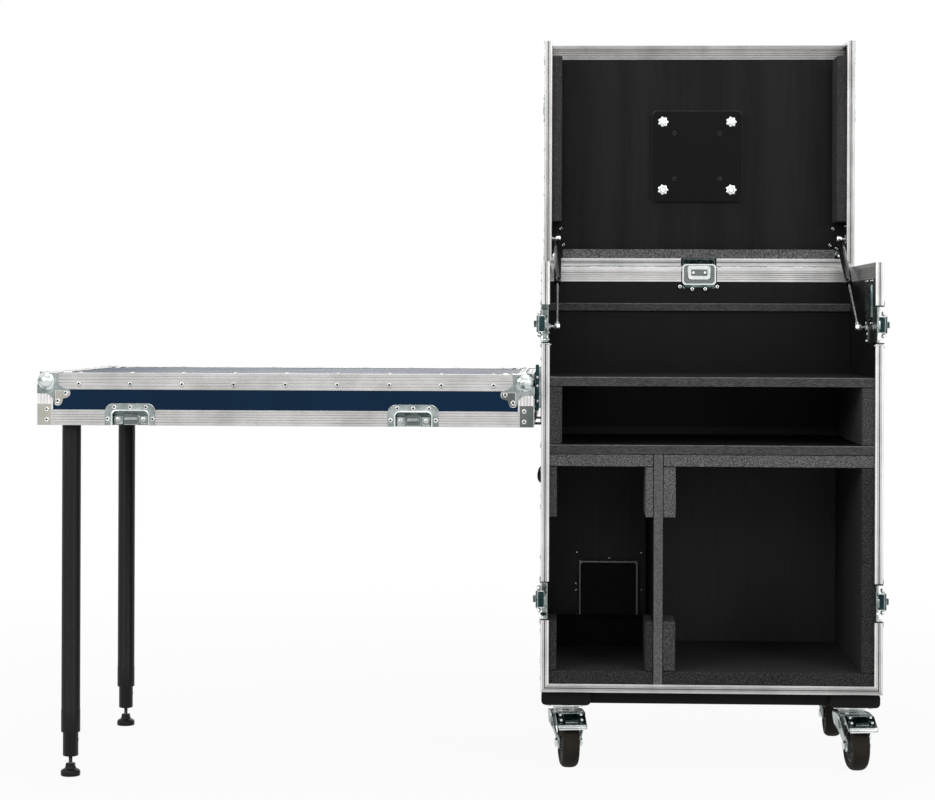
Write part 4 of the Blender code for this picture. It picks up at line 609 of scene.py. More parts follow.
def ball_corner(bm, place, outward, leg=0.03, short="", pad=GREY):
    """Plated ball in a socket, with a flange on each face that steps down from the extrusion to the panel."""
    place = Vector(place)
    out = Vector(outward)
    inset_by, socket = 0.016, 0.0181
    # The ball's plating carries painted reflection
    ball(bm, place - out * inset_by, 0.0195, MIRROR, 40, 28)
    lobes = ((0.0545, 0.0392), (0.0392, 0.0545))
    size = 0.0088
    first_half = [(0.04, -0.0006), (0.04, 0.014), (0.0413, 0.02), (0.0446, 0.0252), (0.0492, 0.0288)]
    lobe_arc = [
        (lobes[0][0] + size * math.cos(math.radians(a)), lobes[0][1] + size * math.sin(math.radians(a)))
        for a in range(-84, 126, 14)]
    shape = first_half + lobe_arc + [(v, u) for u, v in lobe_arc[::-1]] + [(v, u) for u, v in first_half[::-1]]
    edge = leg + 0.0015
    start, stop = math.radians(156.3), math.radians(-66.3)
    turns = [start + (stop - start) * step / 20 for step in range(21)]
    arc = [(inset_by + socket * math.cos(a), inset_by + socket * math.sin(a)) for a in turns]
    upper = [(u, v) for u, v in shape if v <= edge or u <= edge]
    half = len(upper) // 2
    upper = upper[:half] + [(edge + 0.0292, edge), (edge, edge), (edge, edge + 0.0292)] + upper[half:]
    near, far = edge + 0.0004, edge + 0.029
    tab = [(near, near), (far, near)] + [(u, v) for u, v in shape if v > edge and u > edge] + [(near, far)]
    profile = [
        (socket + 0.0006, 0.0014), (socket - 0.0006, 0.0009), (socket - 0.0014, -0.0008), (0.015, -0.0005),
        (0.012, 0.0006), (0.0112, -0.0006), (0.016, -0.0034), (socket + 0.0006, -0.001)]
    for name, axes in (("x", (1, 2, 0)), ("y", (0, 2, 1)), ("z", (0, 1, 2))):
        vectors = [Vector(), Vector(), Vector()]
        for vector, axis, sign in zip(vectors, axes, (-1, -1, 1)):
            vector[axis] = sign * out[axis]
        frame_matrix = axes_frame(*vectors, place - vectors[2] * SINK)
        # Flange bevels and tab borders carry a painted highlight
        if name in short:
            square = arc + [(CLEAR, -0.0006), (CLEAR, CLEAR), (-0.0006, CLEAR)]
            plate(bm, square, SHEET, frame_matrix, FLAT, 0.0004, BRIGHT)
        else:
            plate(bm, arc + upper, SHEET + 0.0004, frame_matrix, FLAT, 0.0005, BRIGHT)
            low = shifted(frame_matrix, 0.0, 0.0, -SKIN)
            painted_highlight_edged(bm, tab, SHEET + 0.0004, low, pad)
            sheet_rivets(bm, low, lobes, 0.0052, 0.0019, SHEET + 0.0004)
        # The socket's collar: one strip takes painted shade, the next two the ball's plating
        loft(bm, [[
            frame_matrix @ Vector((inset_by + r * math.cos(a), inset_by + r * math.sin(a), h))
            for r, h in profile] for a in turns], sides={1: SHADED, 2: MIRROR, 3: MIRROR})


def row(start, end, count):
    return [start + (end - start) * step / (count - 1) for step in range(count)]


def tube(bm, points, radius, count=12, index=0):
    """Round rod along a bent path."""
    rings = []
    reference = None
    for number, point in enumerate(points):
        before = points[max(number - 1, 0)]
        after = points[min(number + 1, len(points) - 1)]
        tangent = (after - before).normalized()
        if reference is None:
            reference = tangent.orthogonal().normalized()
        reference = (reference - tangent * reference.dot(tangent)).normalized()
        second = tangent.cross(reference)
        rings.append([
            point + (reference * math.cos(a) + second * math.sin(a)) * radius
            for a in circle(count)])
    loft(bm, rings, index)


# ---------- the case


def mitred_frame(name, section, runs, node):
    """Bars of one frame: each run is (start, end, out, up, mitre_start, mitre_end)."""
    bm = bmesh.new()
    for start, end, out, up, first, last in runs:
        heading = [abs(after - before) for before, after in zip(start, end)]
        bar(bm, section, start, end, out, up, first, last, heading.index(max(heading)))
    emit(name, bm, CASE, "case", alu_finishes(), (node,), 25.0)


def alu_finishes(letters="XYZ"):
    """Drawn metal, whose tone by bar direction is painted light, its copies with painted shade for grooves and
    other shaded faces, and the seat groove's darker painted shade. Lid pieces are made closed and stored open,
    so their grain runs along other axes."""
    return [ALU[letter] for letter in letters] + [ALU_PAINTED_SHADE[letter] for letter in letters] + [SEAT_PAINTED_SHADE]


def case_metal():
    runs = [((-HALF, 0, BOTTOM), (HALF, 0, BOTTOM), -Z, Y, 1, 1)]
    stops = [BOTTOM] + [latch + way * LATCH_HALF for latch in LATCHES for way in WAYS] + [TOP]
    for side in WAYS:
        for index in (0, 2, 4):
            start, end = (side * HALF, 0, stops[index]), (side * HALF, 0, stops[index + 1])
            runs.append((start, end, X * side, Y, int(index == 0), 0))
    mitred_frame("front_rim_bars", rim_section(False), runs, "front_rim")

    runs = []
    for side in WAYS:
        corner = (side * HALF, DEPTH, TOP)
        runs.append(((side * HALF, RIM_BAR + GAP, TOP), corner, X * side, -Z, 0, 1))
        runs.append(((side * 0.0385, DEPTH, TOP), corner, Y, -Z, 0, 1))
    mitred_frame("top_rim_bars", rim_section(True), runs, "top_rim")

    runs = [((-HALF + CLEAR, DEPTH, BOTTOM), (HALF - CLEAR, DEPTH, BOTTOM), Y, Z, 0, 0)]
    for side in WAYS:
        at = side * HALF
        runs.append(((at, LEAF_CLEAR, BOTTOM), (at, DEPTH - CLEAR, BOTTOM), X * side, Z, 0, 0))
        runs.append(((at, DEPTH, BOTTOM + CLEAR), (at, DEPTH, TOP - LEAF_CLEAR), X * side, -Y, 0, 0))
    mitred_frame("edge_angle_bars", angle_section(0.03), runs, "edge_angles")

    bm = bmesh.new()
    for side in WAYS:
        ball_corner(bm, (side * HALF, DEPTH, BOTTOM), (side, 1, -1), short="z")
    plated("case_ball_corners", bm)

    bm = bmesh.new()
    for side in WAYS:
        for along in row(0.055, 0.435, 5):
            rivet(bm, (side * HALF, along, BOTTOM + 0.019), X * side, 0.004)
        for height in row(0.225, 0.945, 8):
            rivet(bm, (side * HALF, DEPTH - 0.019, height), X * side)
            rivet(bm, (side * (HALF - 0.019), DEPTH, height), Y)
        spots = [(0.02, height) for height in (0.215, 0.275, 0.42, 0.52, 0.64, 0.74, 0.815, 0.945)]
        for along, height in spots + grid((0.055, 0.24, 0.32, 0.4), (TOP - 0.02,)):
            rivet(bm, (side * HALF, along, height), X * side)
    for across in row(-0.27, 0.27, 7):
        rivet(bm, (across, DEPTH, BOTTOM + 0.019), Y)
    emit("case_rivets", bm, CASE, "case", [RIVET, HOLE_SHADE], smooth=40.0)

    bm = bmesh.new()
    for side in WAYS:
        for heights, alongs, radius, rise in (
                ((0.305, 0.367, 0.852, 0.914), (0.012, 0.06), 0.0028, 0.0012),
                ((0.886, 0.972), (0.092, 0.122, 0.172, 0.202), 0.003, 0.0014),
                ((0.7, 0.73), (0.03,), 0.0024, 0.001)):
            for height, along in grid(heights, alongs):
                rivet(bm, (side * WALL_INSIDE, along, height), -X * side, radius, rise)
    spots = [(-0.2623, 0.3869), (-0.1926, 0.3744), (-0.1229, 0.3869), (-0.2641, 0.3192), (-0.2641, 0.3054)]
    spots += [(-0.2632, 0.2511), (-0.122, 0.3054)]
    for across, height in spots:
        rivet(bm, (across, REAR_INSIDE, height), -Y, 0.0023, 0.001)
    for across, height in ((-0.0415, 0.9637), (-0.015, 0.9587), (0.013, 0.9587), (0.0392, 0.9637)):
        rod(bm, (across, REAR_INSIDE, height), (across, 0.4745, height), 0.0034, 14)
        rivet(bm, (across, 0.4745, height), -Y, 0.0046, 0.002)
    emit("inner_rivet_ends", bm, CASE, "case", [STEEL, HOLE_SHADE], smooth=40.0)


def latch_dishes():
    """Dishes of the cover latches and the lid latches, with their hooks and rivets."""
    for name, side in SIDES:
        place = side_frame(side)
        bm = bmesh.new()
        for height in LATCHES:
            mouth = (-0.011, 0.072, height - 0.036, height + 0.036)
            dish(bm, mouth, LATCH_DEPTH, 0.011, place, open_low=GAP, shade=FLAT)
            spots = grid((0.078,), (0.03, 0.0, -0.03)) + grid((0.04,), (0.0415, -0.0415))
            spots += grid((0.012,), (-0.0415, 0.0415))
            sheet_rivets(bm, place, [(u, height + v) for u, v in spots])
            latch_base(bm, shifted(place, 0.036, height))
        dish(bm, (0.097, 0.197, 0.893, 0.965), LATCH_DEPTH, 0.013, place)
        sheet_rivets(bm, place, grid((0.0905, 0.122, 0.172, 0.2035), (0.8865, 0.9715)))
        foot = [(0.3385, 0.8408), (0.336, 0.844), (0.33, 0.844), (0.3225, 0.8425), (0.3165, 0.842)]
        tube(bm, [Vector((side * x, -0.0012, z)) for x, z in foot], 0.0011, 8, BRIGHT)
        latch_base(bm, shifted(place, *LID_LATCH) @ QUARTER_BACK)
        plated(name + "_latch_dishes", bm)
        spots = [("low", 0.036, LATCHES[0]), ("high", 0.036, LATCHES[1]), ("lid", *LID_LATCH)]
        for which, along, height in spots:
            wing = bmesh.new()
            latch_wing(wing, shifted(place, along, height) @ QUARTER, which == "lid")
            node = f"{name}_{which}_latch_wing"
            plated(node + "_shaped", wing, CASE, node, (node,), 35.0)


def latch_base(bm, place):
    """Guide box with its sliding hook on a latch dish's floor; u points from the hook to the hub."""
    floor = shifted(place, 0, 0, SHEET - LATCH_DEPTH)
    plate(bm, rounded(-0.0345, -0.0115, -0.014, 0.014, 0.003), 0.0022, floor, 0, 0.0008)
    plate(bm, rounded(-0.0335, -0.025, -0.009, 0.009, 0.002), 0.006, floor, 0, 0.001)
    for v in (-0.0185, 0.0185):
        plate(bm, rounded(-0.014, 0.014, v - 0.004, v + 0.004, 0.002), 0.0018, floor, 0, 0.0006)


def latch_wing(bm, place, flush=False):
    """Butterfly wing: hub, upright dark body whose bright borders are a painted highlight, a thumb lobe with a
    painted highlight on its bevel and a round knob at each end; u is along the body. The lid's wings lie flush
    in their dishes."""
    low = SHEET - LATCH_DEPTH + GAP
    lathe(bm, place.translation, place.to_3x3() @ Z, [
        (0.0088, low), (0.0098, low + 0.0008), (0.0098, -0.0035), (0.007, -0.002), (0.007, 0.0005),
        (0.0045, 0.003), (0.0, 0.0034)], 28, BRIGHT)
    stand = place @ axes_frame(X, Z, Y)
    front = shifted(stand, 0, 0, -0.005)
    if flush:
        painted_highlight_edged(bm, rounded(-0.0165, 0.0165, -0.0102, 0.0002, 0.0016), 0.01, front, DEEP, 0.0012)
        knob = -0.001
    else:
        painted_highlight_edged(bm, rounded(-0.0165, 0.0165, -0.0067, 0.006, 0.0016), 0.015, front, DEEP, 0.0012)
        painted_highlight_edged(bm, rounded(-0.0178, 0.0178, 0.0062, 0.0104, 0.0014), 0.014, front, SHADED, 0.0012)
        lobe = rounded(-0.0072, 0.0072, 0.0098, 0.016, 0.0022)
        plate(bm, lobe, 0.0022, shifted(stand, 0, 0, -0.0011), SHADED, 0.0006, WHITE)
        knob = 0.004
    for way in (1, -1):
        neck, tip, centre = (stand @ Vector((way * u, knob, 0.0)) for u in (0.015, 0.02, 0.0222))
        rod(bm, neck, tip, 0.0032, 14, 0)
        ball(bm, centre, 0.0048, WHITE)


def handle_dishes():
    mouth = (HANDLE_Y - 0.07, HANDLE_Y + 0.07, 0.537, 0.633)
    for name, side in SIDES:
        place = side_frame(side)
        floor = HALF - SINK - 0.0095 + SHEET
        bm = bmesh.new()
        dish(bm, mouth, 0.0095, 0.012, place, 0.011)
        ends = (mouth[0] - 0.006, mouth[1] + 0.006)
        spots = grid((ends[0], HANDLE_Y, ends[1]), (0.531, 0.639)) + grid(ends, (0.585,))
        sheet_rivets(bm, place, spots, 0.0044, 0.0016)
        shape = rounded(-0.0083, 0.0006, HANDLE_Z - 0.008, HANDLE_Z + 0.008, 0.003)
        for way in WAYS:
            ends = (HANDLE_Y + way * 0.0603, HANDLE_Y + way * 0.0653)
            prism(bm, [(side * (HALF - SINK + w), v) for w, v in shape], 1, ends)
        plated(name + "_handle_dish_pressed", bm, replaced=(name + "_handle_dish",))

        bm = bmesh.new()
        centre_x = side * (floor + 0.001 + 0.0035)
        path = [(-0.06, 0.0), (-0.0535, 0.0), (-0.052, -0.0015), (-0.052, -0.0385), (-0.0475, -GRIP_DROP),
                (0.0475, -GRIP_DROP), (0.052, -0.0385), (0.052, -0.0015), (0.0535, 0.0), (0.06, 0.0)]
        tube(bm, [Vector((centre_x, HANDLE_Y + u, HANDLE_Z + v)) for u, v in path], 0.0035, 14)
        grip_x = side * (floor + GAP + 0.009)

        def grip(middle, width, height, stations):
            loft(bm, [[(
                grip_x + width * size * math.cos(a), HANDLE_Y + middle + along,
                HANDLE_Z - GRIP_DROP + height * size * math.sin(a)) for a in circle(28)]
                for along, size in stations], 1)

        grip(0.0, 0.009, 0.015, (
            (-0.046, 0.72), (-0.0445, 0.93), (-0.041, 1.0), (0.041, 1.0), (0.0445, 0.93), (0.046, 0.72)))
        for offset in row(-0.034, 0.034, 9):
            grip(offset, 0.0087, 0.0148, ((-0.0018, 0.98), (-0.0008, 1.045), (0.0008, 1.045), (0.0018, 0.98)))
        emit(name + "_handle_bail", bm, CASE, name + "_handle", [ZINC, GRIP], (name + "_handle",), 40.0)


def rear_hardware():
    bm = bmesh.new()
    place = axes_frame(X, Z, Y, Y * (DEPTH - SINK))
    dish(bm, (-0.257, -0.131, 0.239, 0.369), 0.031, 0.014, place, 0.012)
    spots = grid((-0.264, -0.194, -0.124), (0.232, 0.376)) + grid((-0.264, -0.124), (0.28, 0.328))
    sheet_rivets(bm, place, spots, 0.0044, 0.0016)
    plated("rear_cable_dish_pressed", bm, replaced=("rear_cable_dish",))

    # A near-black sheet in the cable dish is painted shade, and a pale tube along its rim a painted highlight
    bm = bmesh.new()
    lining = rounded(-0.2575, -0.1305, 0.23, 0.37, 0.012)
    plate(bm, lining, 0.001, axes_frame(X, Z, -Y, (0.0, 0.4548, 0.0)))
    lip = [(-0.256, 0.244), (-0.256, 0.36), (-0.255, 0.365), (-0.25, 0.369), (-0.139, 0.369),
           (-0.134, 0.365), (-0.133, 0.36), (-0.133, 0.244)]
    tube(bm, [Vector((u, 0.4534, v)) for u, v in lip], 0.0016, 8, 1)
    emit("rear_cable_dish_lining", bm, CASE, "case", [LINING_SHADE, LIP_HIGHLIGHT], smooth=35.0)

    bm = bmesh.new()
    dish(bm, (-TOP, -TOP + 0.045, -0.035, 0.035), 0.0145, 0.01, place @ QUARTER_BACK, open_low=-TOP + 0.0003)
    for across in (-0.01, 0.01):
        rivet(bm, (across, DEPTH - 0.014, 0.985), -Y, 0.0032, 0.0012, HEAD, PIT_SHADE)
    back = axes_frame(X, Z, -Y, (0.0, 0.4748, 0.0))
    # The bright border and rims are painted highlights, and the inner plate's shaded bevel is painted shade
    plate(bm, rounded(-0.0365, 0.0365, 0.968, 1.013, 0.008), 0.001, back, BRIGHT)
    plate(bm, rounded(-0.0345, 0.0345, 0.97, 1.012, 0.007), 0.0018, back, GREY, 0.0022, BRIGHT)
    plate(bm, rounded(-0.0255, 0.0255, 0.9785, 1.01, 0.007), 0.0034, back, BRIGHT, 0.0016, BRIGHT)
    plate(bm, rounded(-0.018, 0.018, 0.987, 1.0015, 0.0015), 0.0036, back, GREY, 0.0004, SHADED)
    for across in (-0.0125, 0.0125):
        rivet(bm, (across, 0.4712, 0.9935), -Y, 0.0036, 0.0014, HEAD, BRIGHT)
    sheet_rivets(bm, place, grid((-0.04, 0.04), (0.956, 0.99)))
    plated("centre_dish", bm)
    hinge_side("case_hinge_leaves", CASE, "case", 0, 0.493, TOP, -1)
    hinge_side("lid_hinge_leaves", LID, "lid", 1, 0.0, 0.0, 1)


def hinge_side(name, matrix, body, first, axis_y, axis_z, up):
    """Leaves with rolled knuckles on one side of the rear hinges."""
    bm = bmesh.new()
    pitch = (0.237 - 0.046) / 6
    near = axis_y - 0.003 - 0.0002
    place = axes_frame(X, Z, Y, (0, near, 0))
    for side in WAYS:
        ends = span(side, 0.046, 0.237)
        zs = sorted((axis_z + up * 0.003, axis_z + up * 0.026))
        plate(bm, rounded(*ends, *zs, 0.002), SHEET, place, 0, 0.0004)
        for number in range(first, 6, 2):
            low = ends[0] + number * pitch + GAP
            high = low + pitch - 2 * GAP
            webs = sorted((axis_z, axis_z + up * 0.0042))
            block(bm, (low, near, webs[0]), (high, near + SHEET, webs[1]))
            rod(bm, (low, axis_y, axis_z), (high, axis_y, axis_z), 0.0027, 20, 0, 0.0004)
        for across in row(ends[0] + 0.018, ends[1] - 0.018, 5):
            rivet(bm, (across, near + SHEET, axis_z + up * 0.0165), Y, 0.0038, 0.0014, HEAD, PIT_SHADE)
    plated(name, bm, matrix, body, smooth=35.0)


def soft_block(name, low, high, replaced=(), matrix=CASE, body="case", finish=FOAM):
    """A foam pad: dense cage with softened edges and a slightly uneven cut."""
    bm = bmesh.new()
    lengths = [high[axis] - low[axis] for axis in range(3)]
    counts = [max(1, min(14, int(length / 0.035))) for length in lengths]
    grid_faces(bm, low, high, counts)
    seed = Vector((low[0] * 7.0, low[1] * 5.0, low[2] * 3.0))
    centre = [(low[axis] + high[axis]) / 2 for axis in range(3)]
    for vert in bm.verts:
        for axis in range(3):
            wave = noise.noise(vert.co * 18.0 + seed) * 0.00055 + 0.00055
            vert.co[axis] += math.copysign(wave, centre[axis] - vert.co[axis])
    item = emit(name, bm, matrix, body, finish, replaced, 50.0, 0.0016, 3)
    return item


def grid_faces(bm, low, high, counts):
    """A closed box whose faces are divided into even cells."""
    points = {}

    def vert(i, j, k):
        key = (i, j, k)
        if key not in points:
            points[key] = bm.verts.new([
                low[axis] + (high[axis] - low[axis]) * value / counts[axis]
                for axis, value in enumerate(key)])
        return points[key]

    for axis in range(3):
        first, second = [other for other in range(3) if other != axis]
        for end in (0, counts[axis]):
            for i in range(counts[first]):
                for j in range(counts[second]):
                    corners = []
                    for di, dj in ((0, 0), (1, 0), (1, 1), (0, 1)):
                        key = [0, 0, 0]
                        key[axis] = end
                        key[first] = i + di
                        key[second] = j + dj
                        corners.append(vert(*key))
                    bm.faces.new(corners)


def foam_lining():
    near, far = 0.0086, 0.4789
    back = near + 0.12
    low, top = FLOOR_FOAM_LOW, FLOOR_FOAM_TOP
    under_low, under_high = 0.601, 0.6257
    left_edge, right_edge = -0.11355, -0.09495

    def pad(name, start, end, bottom, height, finish=FOAM, node="", last=far, first=near):
        replaced = (node,) if node else ()
        soft_block(name, (start, first, bottom), (end, last, height), replaced, finish=finish)

    def blocks(name, start, end, low_finish, top_finish):
        pad(name + "_low_block", start, end, top, top + 0.098, low_finish, "", back)
        pad(name + "_top_block", start, end, under_low - 0.1, under_low, top_finish, "", back)

    # Upper pads take the painted light tone, most low pads and blocks the painted shade tones, and the left
    # rear block the deepest painted shade
    for name, side in SIDES:
        pad(name + "_slot_pad", *span(side, INNER - 0.0307, INNER), 0.6443, 0.7597, FOAM, name + "_slot_foam")
    pad("left_floor_pad", -INNER, left_edge, low, top, FOAM_SHADED, "left_bay_floor_foam")
    pad("left_top_pad", -INNER, left_edge, under_low, under_high, FOAM_LIT, "left_bay_top_foam")
    pad("left_rear_block", -INNER, left_edge, top, top + 0.058, FOAM_DEEP_SHADE, "", 0.4549, 0.3989)
    blocks("left_wall", -INNER, -INNER + 0.0212, FOAM_SHADED, FOAM)
    blocks("left_divider", left_edge - 0.0165, left_edge, FOAM_SHADED, FOAM_LIT)
    pad("right_floor_pad", right_edge, INNER, low, top, FOAM_SHADED, "right_bay_foam")
    pad("right_top_pad", right_edge, INNER, under_low, under_high, FOAM_LIT)
    pad("right_side_pad", INNER - 0.0307, INNER, top, under_low, FOAM_SHADED)
    blocks("right_divider", right_edge, right_edge + 0.0252, FOAM, FOAM_LIT)


def plywood():
    """Shelves, rail, divider and base with layered front edges."""
    def board(name, low, high, node, upper=True):
        bm = bmesh.new()
        block(bm, low, high)
        bm.normal_update()
        for face in bm.faces:
            if face.normal.y < -0.5:
                face.material_index = 1
        if upper:
            # A lighter strip runs along the top of the front edge
            front, top = low[1], high[2]
            block(bm, (low[0], front - 0.0004, top - 0.0016), (high[0], front + 0.0006, top + 0.0003), 2)
        edge = EDGE if upper else EDGE_SPECKLED
        emit(name, bm, CASE, "case", [PLY_X, edge, EDGE_LIGHT], (node,), 30.0, 0.0005)

    for name, front, low, high, node in (
            ("main_shelf_board", BOARD_FRONT, 0.76, 0.778, "main_shelf"),
            ("lower_shelf_board", BOARD_FRONT, 0.626, 0.644, "lower_shelf"),
            ("rear_rail_batten", 0.4672, 0.9115, 0.9275, "rear_rail")):
        board(name, (-INNER, front, low), (INNER, BOARD_BACK, high), node)
    board("divider_board", (-0.11325, BOARD_FRONT, 0.1698), (-0.09525, BOARD_BACK, 0.6257), "partition", False)
    bm = bmesh.new()
    for side in WAYS:
        prism(bm, rounded(*span(side, 0.236, 0.334), 0.1272, 0.1557, 0.009), 1, (0.02, 0.452))
    for start in (0.04, 0.35):
        block(bm, (-0.242, start, 0.129), (0.242, start + 0.1, 0.1557))
    emit("castor_boards", bm, CASE, "case", BOARD, ("castor_base",), 30.0, 0.0015, 3)


def strut_stud(bm, side, face, back, nut, shape, y, z):
    """Plate on a wall with the strut's ball stud and its nut."""
    prism(bm, shape, 0, span(side, face, back))
    rod(bm, (side * (face + 0.0008), y, z), (side * 0.3115, y, z), 0.0034, 18, 0, 0.0006)
    rod(bm, (side * (face + 0.0005), y, z), (side * nut, y, z), 0.0065, 6, HEAD)


def strut_brackets():
    for name, side in SIDES:
        bm = bmesh.new()
        shape = rounded(0.153, 0.183, 0.842, 0.884, 0.006)
        strut_stud(bm, side, 0.3227, 0.3252, 0.3195, shape, STUD_Y, STUD_Z)
        for u, v in ((0.16, 0.85), (0.176, 0.85), (0.16, 0.864)):
            rivet(bm, (side * 0.3227, u, v), -X * side, 0.003, 0.0014, HEAD, PIT_SHADE)
        plated(name + "_strut_plate", bm, replaced=(name + "_strut_bracket",), smooth=35.0)
        bm = bmesh.new()
        prism(bm, rounded(0.158, 0.178, 0.8845, 0.964, 0.008), 0, span(side, 0.3235, 0.3252))
        for v in (0.897, 0.952):
            rivet(bm, (side * 0.3235, STUD_Y, v), -X * side, 0.0032, 0.0014, HEAD, PIT_SHADE)
        plated(name + "_latch_stay", bm, smooth=35.0)


def castors():
    spots = (
        ("front_left", -0.285, 0.085, 8.0, True), ("front_right", 0.285, 0.085, 8.0, True),
        ("rear_left", -0.285, 0.405, 180.0, False), ("rear_right", 0.285, 0.405, 180.0, False))
    bm = bmesh.new()
    for name, x, y, yaw, braked in spots:
        prism(bm, rounded(x - 0.042, x + 0.042, y - 0.042, y + 0.042, 0.006), 2, (0.125, 0.1291))
        for du, dv in grid((-0.034, 0.034), (-0.034, 0.034)):
            lathe(bm, (x + du, y + dv, 0.1262), -Z, [(0.0062, 0.0), (0.0062, 0.0038), (0.005, 0.0046)], 6, 1)
    emit("castor_top_plates", bm, CASE, "case", [ZINC, STEEL], smooth=30.0)
    for name, x, y, yaw, braked in spots:
        place = CASE @ Matrix.Translation((x, y, 0.0)) @ Matrix.Rotation(math.radians(yaw), 4, "Z")
        castor_fork(name, place)
        castor_wheel(name, place)
        if braked:
            pedal = bmesh.new()
            pedal_shape(pedal)
            node = name + "_pedal"
            finishes = [ZINC_DARK_AND_SHADE, STEEL, TEAL, ZINC]
            hinge = shifted(place, 0.0, -0.031, 0.1055)
            emit(node + "_pressed", pedal, hinge, node, finishes, (node,), 35.0, 0.0005)


def castor_fork(name, place):
    bm = bmesh.new()
    lathe(bm, (0, 0, 0), Z, [
        (0.0, 0.102), (0.0055, 0.102), (0.0055, 0.1045), (0.0125, 0.105), (0.02, 0.1062), (0.024, 0.1085),
        (0.024, 0.112), (0.027, 0.1128), (0.0275, 0.115), (0.026, 0.1168), (0.0275, 0.1183),
        (0.0275, 0.1215), (0.025, 0.1235), (0.025, 0.1249), (0.0, 0.1249)], 48, 2)
    cheek = [(-0.02, 0.1085), (0.01, 0.11), (0.03, 0.1085), (0.037, 0.104), (0.0415, 0.094),
             (0.048, 0.072), (0.0525, 0.058), (0.051, 0.044), (0.044, 0.0375), (0.035, 0.0365),
             (0.0265, 0.0405), (0.012, 0.062), (-0.006, 0.086), (-0.017, 0.096), (-0.0205, 0.102)]
    for side in WAYS:
        loft(bm, [[(u + side * flare(z), -s, z) for s, z in cheek] for u in span(side, 0.018, 0.0208)])
        lathe(bm, (side * 0.0206, *AXLE[1:]), X * side, [
            (0.0115, 0.0), (0.0115, 0.0012), (0.0092, 0.0014), (0.0092, 0.0062), (0.0075, 0.007), (0.0, 0.007)],
            6, 1)
        rod(bm, (side * 0.032, -0.031, 0.104), (side * 0.0348, -0.031, 0.104), 0.0036, 16, 1, 0.0006)
    block(bm, (-0.033, -0.022, 0.1045), (0.033, 0.02, 0.108), 2)
    for side in WAYS:
        near, far = span(side, 0.019, 0.0325)
        prism(bm, [(near, 0.1075), (far, 0.1075), (far, 0.08), (near, 0.08)], 1, (-0.0215, -0.0185))
    rod(bm, (-0.018, *AXLE[1:]), (0.018, *AXLE[1:]), 0.0058, 20, 1)
    node = name + "_fork"
    emit(node + "_pressed", bm, place, node, [ZINC, STEEL, CROWN], (node,), 35.0, 0.0006)


def castor_wheel(name, place):
    bm = bmesh.new()
    centre = Vector(AXLE)
    tyre = [(0.033, 0.0155), (0.0395, 0.0172), (0.044, 0.0163), (0.0474, 0.0132), (0.0494, 0.0082), (0.05, 0.0)]
    lathe(bm, centre, X, tyre + [(r, -h) for r, h in tyre[-2::-1]] + [tyre[0]], 56, 0, caps=False)
    hub = [(0.0064, 0.017), (0.012, 0.017), (0.0135, 0.0155), (0.0145, 0.0105), (0.026, 0.0095),
           (0.0295, 0.0135), (0.033, 0.0142)]
    lathe(bm, centre, X, hub + [(r, -h) for r, h in hub[::-1]] + [hub[0]], 48, 1, caps=False)
    for angle in circle(8):
        spoke = Vector((0.0, math.cos(angle), math.sin(angle)))
        for side in WAYS:
            start, end = (centre + spoke * reach + X * side * 0.0105 for reach in (0.014, 0.0285))
            rod(bm, start, end, 0.0016, 8, 1)
    node = name + "_wheel"
    emit(node + "_tyred", bm, place, node, [TYRE, HUB], (node,), 30.0)


def flare(height):
    """How far a fork's cheek stands out at a height: it widens towards its crown."""
    return 0.013 * min(1.0, max(0.0, (height - 0.056) / 0.03))


def pedal_shape(bm):
    """Pressed brake pedal: arm, ribbed tread, turned-down cheeks and a raised pad."""
    def slab(profile, near, far, index=0):
        prism(bm, [(-s, z) for s, z in profile], 0, (near, far), index)

    for half, index, profile in (
            (0.017, 0, [(-0.004, -0.003), (0.004, -0.003), (0.018, 0.0018), (0.018, 0.0045), (-0.004, 0.004)]),
            (0.0292, 0, [(0.014, 0.002), (0.03, 0.0018), (0.06, -0.018), (0.0625, -0.0185), (0.0625, -0.0155),
                         (0.031, 0.0047), (0.014, 0.005)]),
            (0.024, 3, [(0.0175, 0.0052), (0.029, 0.0049), (0.031, 0.0042), (0.031, 0.0062), (0.029, 0.0066),
                         (0.0175, 0.0068)]),
            (0.014, 2, [(0.034, 0.0036), (0.05, -0.0064), (0.0505, -0.0054), (0.0345, 0.0048)]),
            (0.0125, 3, [(0.0505, -0.007), (0.056, -0.0104), (0.0567, -0.009), (0.0512, -0.0056)]),
            (0.0282, 1, [(0.0585, -0.015), (0.064, -0.0188), (0.065, -0.0172), (0.0595, -0.0128)]),
            (0.0265, 1, [(0.062, -0.0225), (0.064, -0.0225), (0.065, -0.0195), (0.0625, -0.019)])):
        slab(profile, -half, half, index)
    cheek = [(0.014, 0.0048), (0.031, 0.0044), (0.0622, -0.016), (0.061, -0.0215), (0.03, -0.005),
             (0.014, -0.004)]
    stud = [(0.003, -0.003), (0.003, 0.0012), (0.0, 0.0018)]
    for side in WAYS:
        slab(cheek, *span(side, 0.0278, 0.0295))
        for along, height in ((0.037, 0.0045), (0.05, -0.004)):
            lathe(bm, (side * 0.0205, -along, height), Z, stud, 12, 1)


# ---------- struts, lid, table, legs


